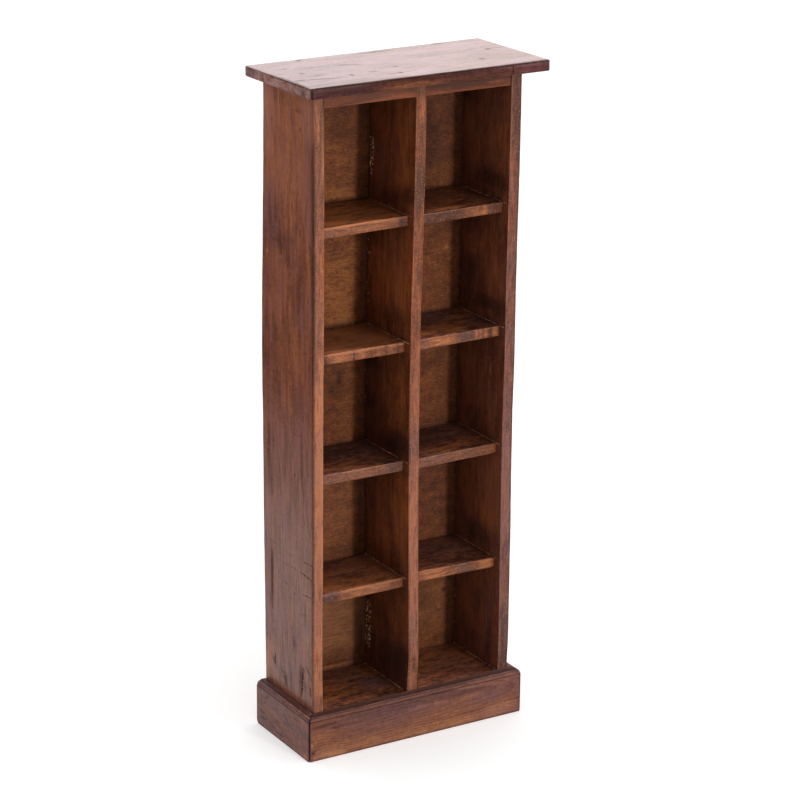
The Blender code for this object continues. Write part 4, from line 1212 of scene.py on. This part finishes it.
driedGlue = makeStain(
    "driedGlue", deep=(116, 80, 62), dark=(168, 122, 96), light=(206, 160, 130), pale=(236, 198, 168),
    wearAmount=0, grimeAmount=0, bloom=0, mottleAmount=0.6, roughness=0.5, gloss=0.3,
)
corners, quads, crowd = [], [], []
for x, lowY, highY, lowZ, highZ, density in crumbs["patches"]:
    quads.append(range(len(corners), len(corners) + 4))
    corners += [(x, lowY, lowZ), (x, lowY, highZ), (x, highY, highZ), (x, highY, lowZ)]
    crowd += [density] * 4
patches = plainMesh("crumbPatches", corners, faces=quads)
setAttributes(patches, crowd=crowd)
makeDetail("glueCrumbs", makeCrumbTree(), crumbs, driedGlue, patches, smooth=False)

# the glue line along each shelf's right end
beads = {"radius": 0.0007, "sides": 6, "step": 0.002, "wobble": 0.0005, "frontGap": 0.004, "backGap": 0.001}


def makeBeadTree():
    bench, given, result = newShape("glueBead", {"Float": "Radius, Step, Wobble", "Int": "Sides"})
    curve = bench.add("GeometryNodeMeshToCurve", {"Mesh": given["Geometry"]}).outputs[0]
    fine = bench.add("GeometryNodeResampleCurve", {"Curve": curve, "Length": given["Step"]}, mode="LENGTH")
    place = bench.add("GeometryNodeInputPosition").outputs[0]
    wave = bench.add("ShaderNodeTexNoise", {"Vector": place, "Scale": 190, "Detail": 2}).outputs["Color"]
    offset = bench.scaled(bench.vector("SUBTRACT", wave, (0.5, 0.5, 0.5)), given["Wobble"])
    moved = bench.add("GeometryNodeSetPosition", {"Geometry": fine.outputs[0], "Offset": offset})
    swell = bench.ease(bench.noise(place, 260, 2), 0.3, 0.7, 0.35, 1.5)
    swollen = bench.add("GeometryNodeSetCurveRadius", {"Curve": moved.outputs[0], "Radius": swell})
    ring = bench.add("GeometryNodeCurvePrimitiveCircle", {
        "Resolution": given["Sides"], "Radius": given["Radius"],
    }).outputs["Curve"]
    tube = bench.add("GeometryNodeCurveToMesh", {
        "Curve": swollen.outputs[0], "Profile Curve": ring, "Fill Caps": True, "Scale": swell,
    })
    return finishShape(bench, tube.outputs[0], given, result)


glueLine = makeStain(
    "glueLine", deep=(60, 38, 30), dark=(104, 72, 58), light=(146, 110, 92), pale=(186, 150, 128),
    wearAmount=0, grimeAmount=0, bloom=0, mottleAmount=0.8, roughness=0.45, gloss=0.3,
)
ends, edges = [], []
boards = []
for column in ("left", "right"):
    boards += ["floor"] + [f"{column}_{number}" for number in (1, 2, 3, 4)]
for (low, high), board in zip(cubbies, boards):
    height = low[2] + settled[board][1]
    edges.append((len(ends), len(ends) + 1))
    ends += [(high[0], low[1] + beads["frontGap"], height), (high[0], high[1] - beads["backGap"], height)]
makeDetail("glueBeads", makeBeadTree(), beads, glueLine, plainMesh("beadLines", ends, edges))
print("nails and glue done")


# floor, lights and camera
def makeStage():
    bpy.ops.mesh.primitive_plane_add(size=lightSettings["floorSize"])
    floor = bpy.context.object
    floor.name = "studioFloor"
    material = bpy.data.materials.new("studioFloor")
    material.use_nodes = True
    shader = material.node_tree.nodes["Principled BSDF"].inputs
    shader["Base Color"].default_value = lightSettings["floorColour"]
    shader["Roughness"].default_value = lightSettings["floorRoughness"]
    shader["Specular IOR Level"].default_value = 0
    shader["Emission Color"].default_value = lightSettings["glowColour"]
    shader["Emission Strength"].default_value = lightSettings["floorGlow"]
    floor.data.materials.append(material)
    spared = bpy.data.collections.new("sparedFloor")  # the floor, as the softboxes that pass over it see it
    spared.objects.link(floor)
    spared.collection_objects[0].light_linking.link_state = "EXCLUDE"

    world = bpy.data.worlds.new("studioSky")
    world.use_nodes = True
    sky = world.node_tree.nodes["Background"].inputs
    sky["Color"].default_value = lightSettings["sky"]
    sky["Strength"].default_value = lightSettings["skyStrength"]
    bpy.context.scene.world = world
    return spared


def makeLights(spared):
    for name, values in lightSettings["softboxes"].items():
        azimuth, elevation, distance, width, height, watts, aimHeight = values
        data = bpy.data.lights.new(name, "AREA")
        data.shape = "RECTANGLE"
        data.size, data.size_y, data.energy = width, height, watts
        softbox = bpy.data.objects.new(name, data)
        toLamp = direction(azimuth, elevation) * distance
        softbox.location = Vector((0, 0, aimHeight)) + toLamp
        softbox.rotation_euler = toLamp.to_track_quat("Z", "Y").to_euler()
        softbox.visible_camera = False
        bpy.context.scene.collection.objects.link(softbox)
        if name in lightSettings["sparesFloor"]:
            softbox.light_linking.receiver_collection = spared


def makeCamera():
    view = viewSettings
    back, roll = direction(view["azimuth"], view["elevation"]), math.radians(view["roll"])
    right = (-back).cross(Vector((0, 0, 1))).normalized()
    up = right.cross(-back)
    data = bpy.data.cameras.new("photoCamera")
    data.lens, data.sensor_width = view["lens"], view["sensor"]
    camera = bpy.data.objects.new("photoCamera", data)
    aim = Vector((0, frontPlane, view["aimHeight"]))
    place = aim + back * view["distance"] + right * view["aside"] + up * view["above"]
    rolledRight = right * math.cos(roll) + up * math.sin(roll)
    rolledUp = up * math.cos(roll) - right * math.sin(roll)
    turned = Matrix((rolledRight, rolledUp, back)).transposed().to_4x4()
    camera.matrix_world = Matrix.Translation(place) @ turned
    bpy.context.scene.collection.objects.link(camera)
    bpy.context.scene.camera = camera


makeLights(makeStage())
makeCamera()
bpy.context.scene.view_settings.view_transform = "Standard"
print("stage ready")
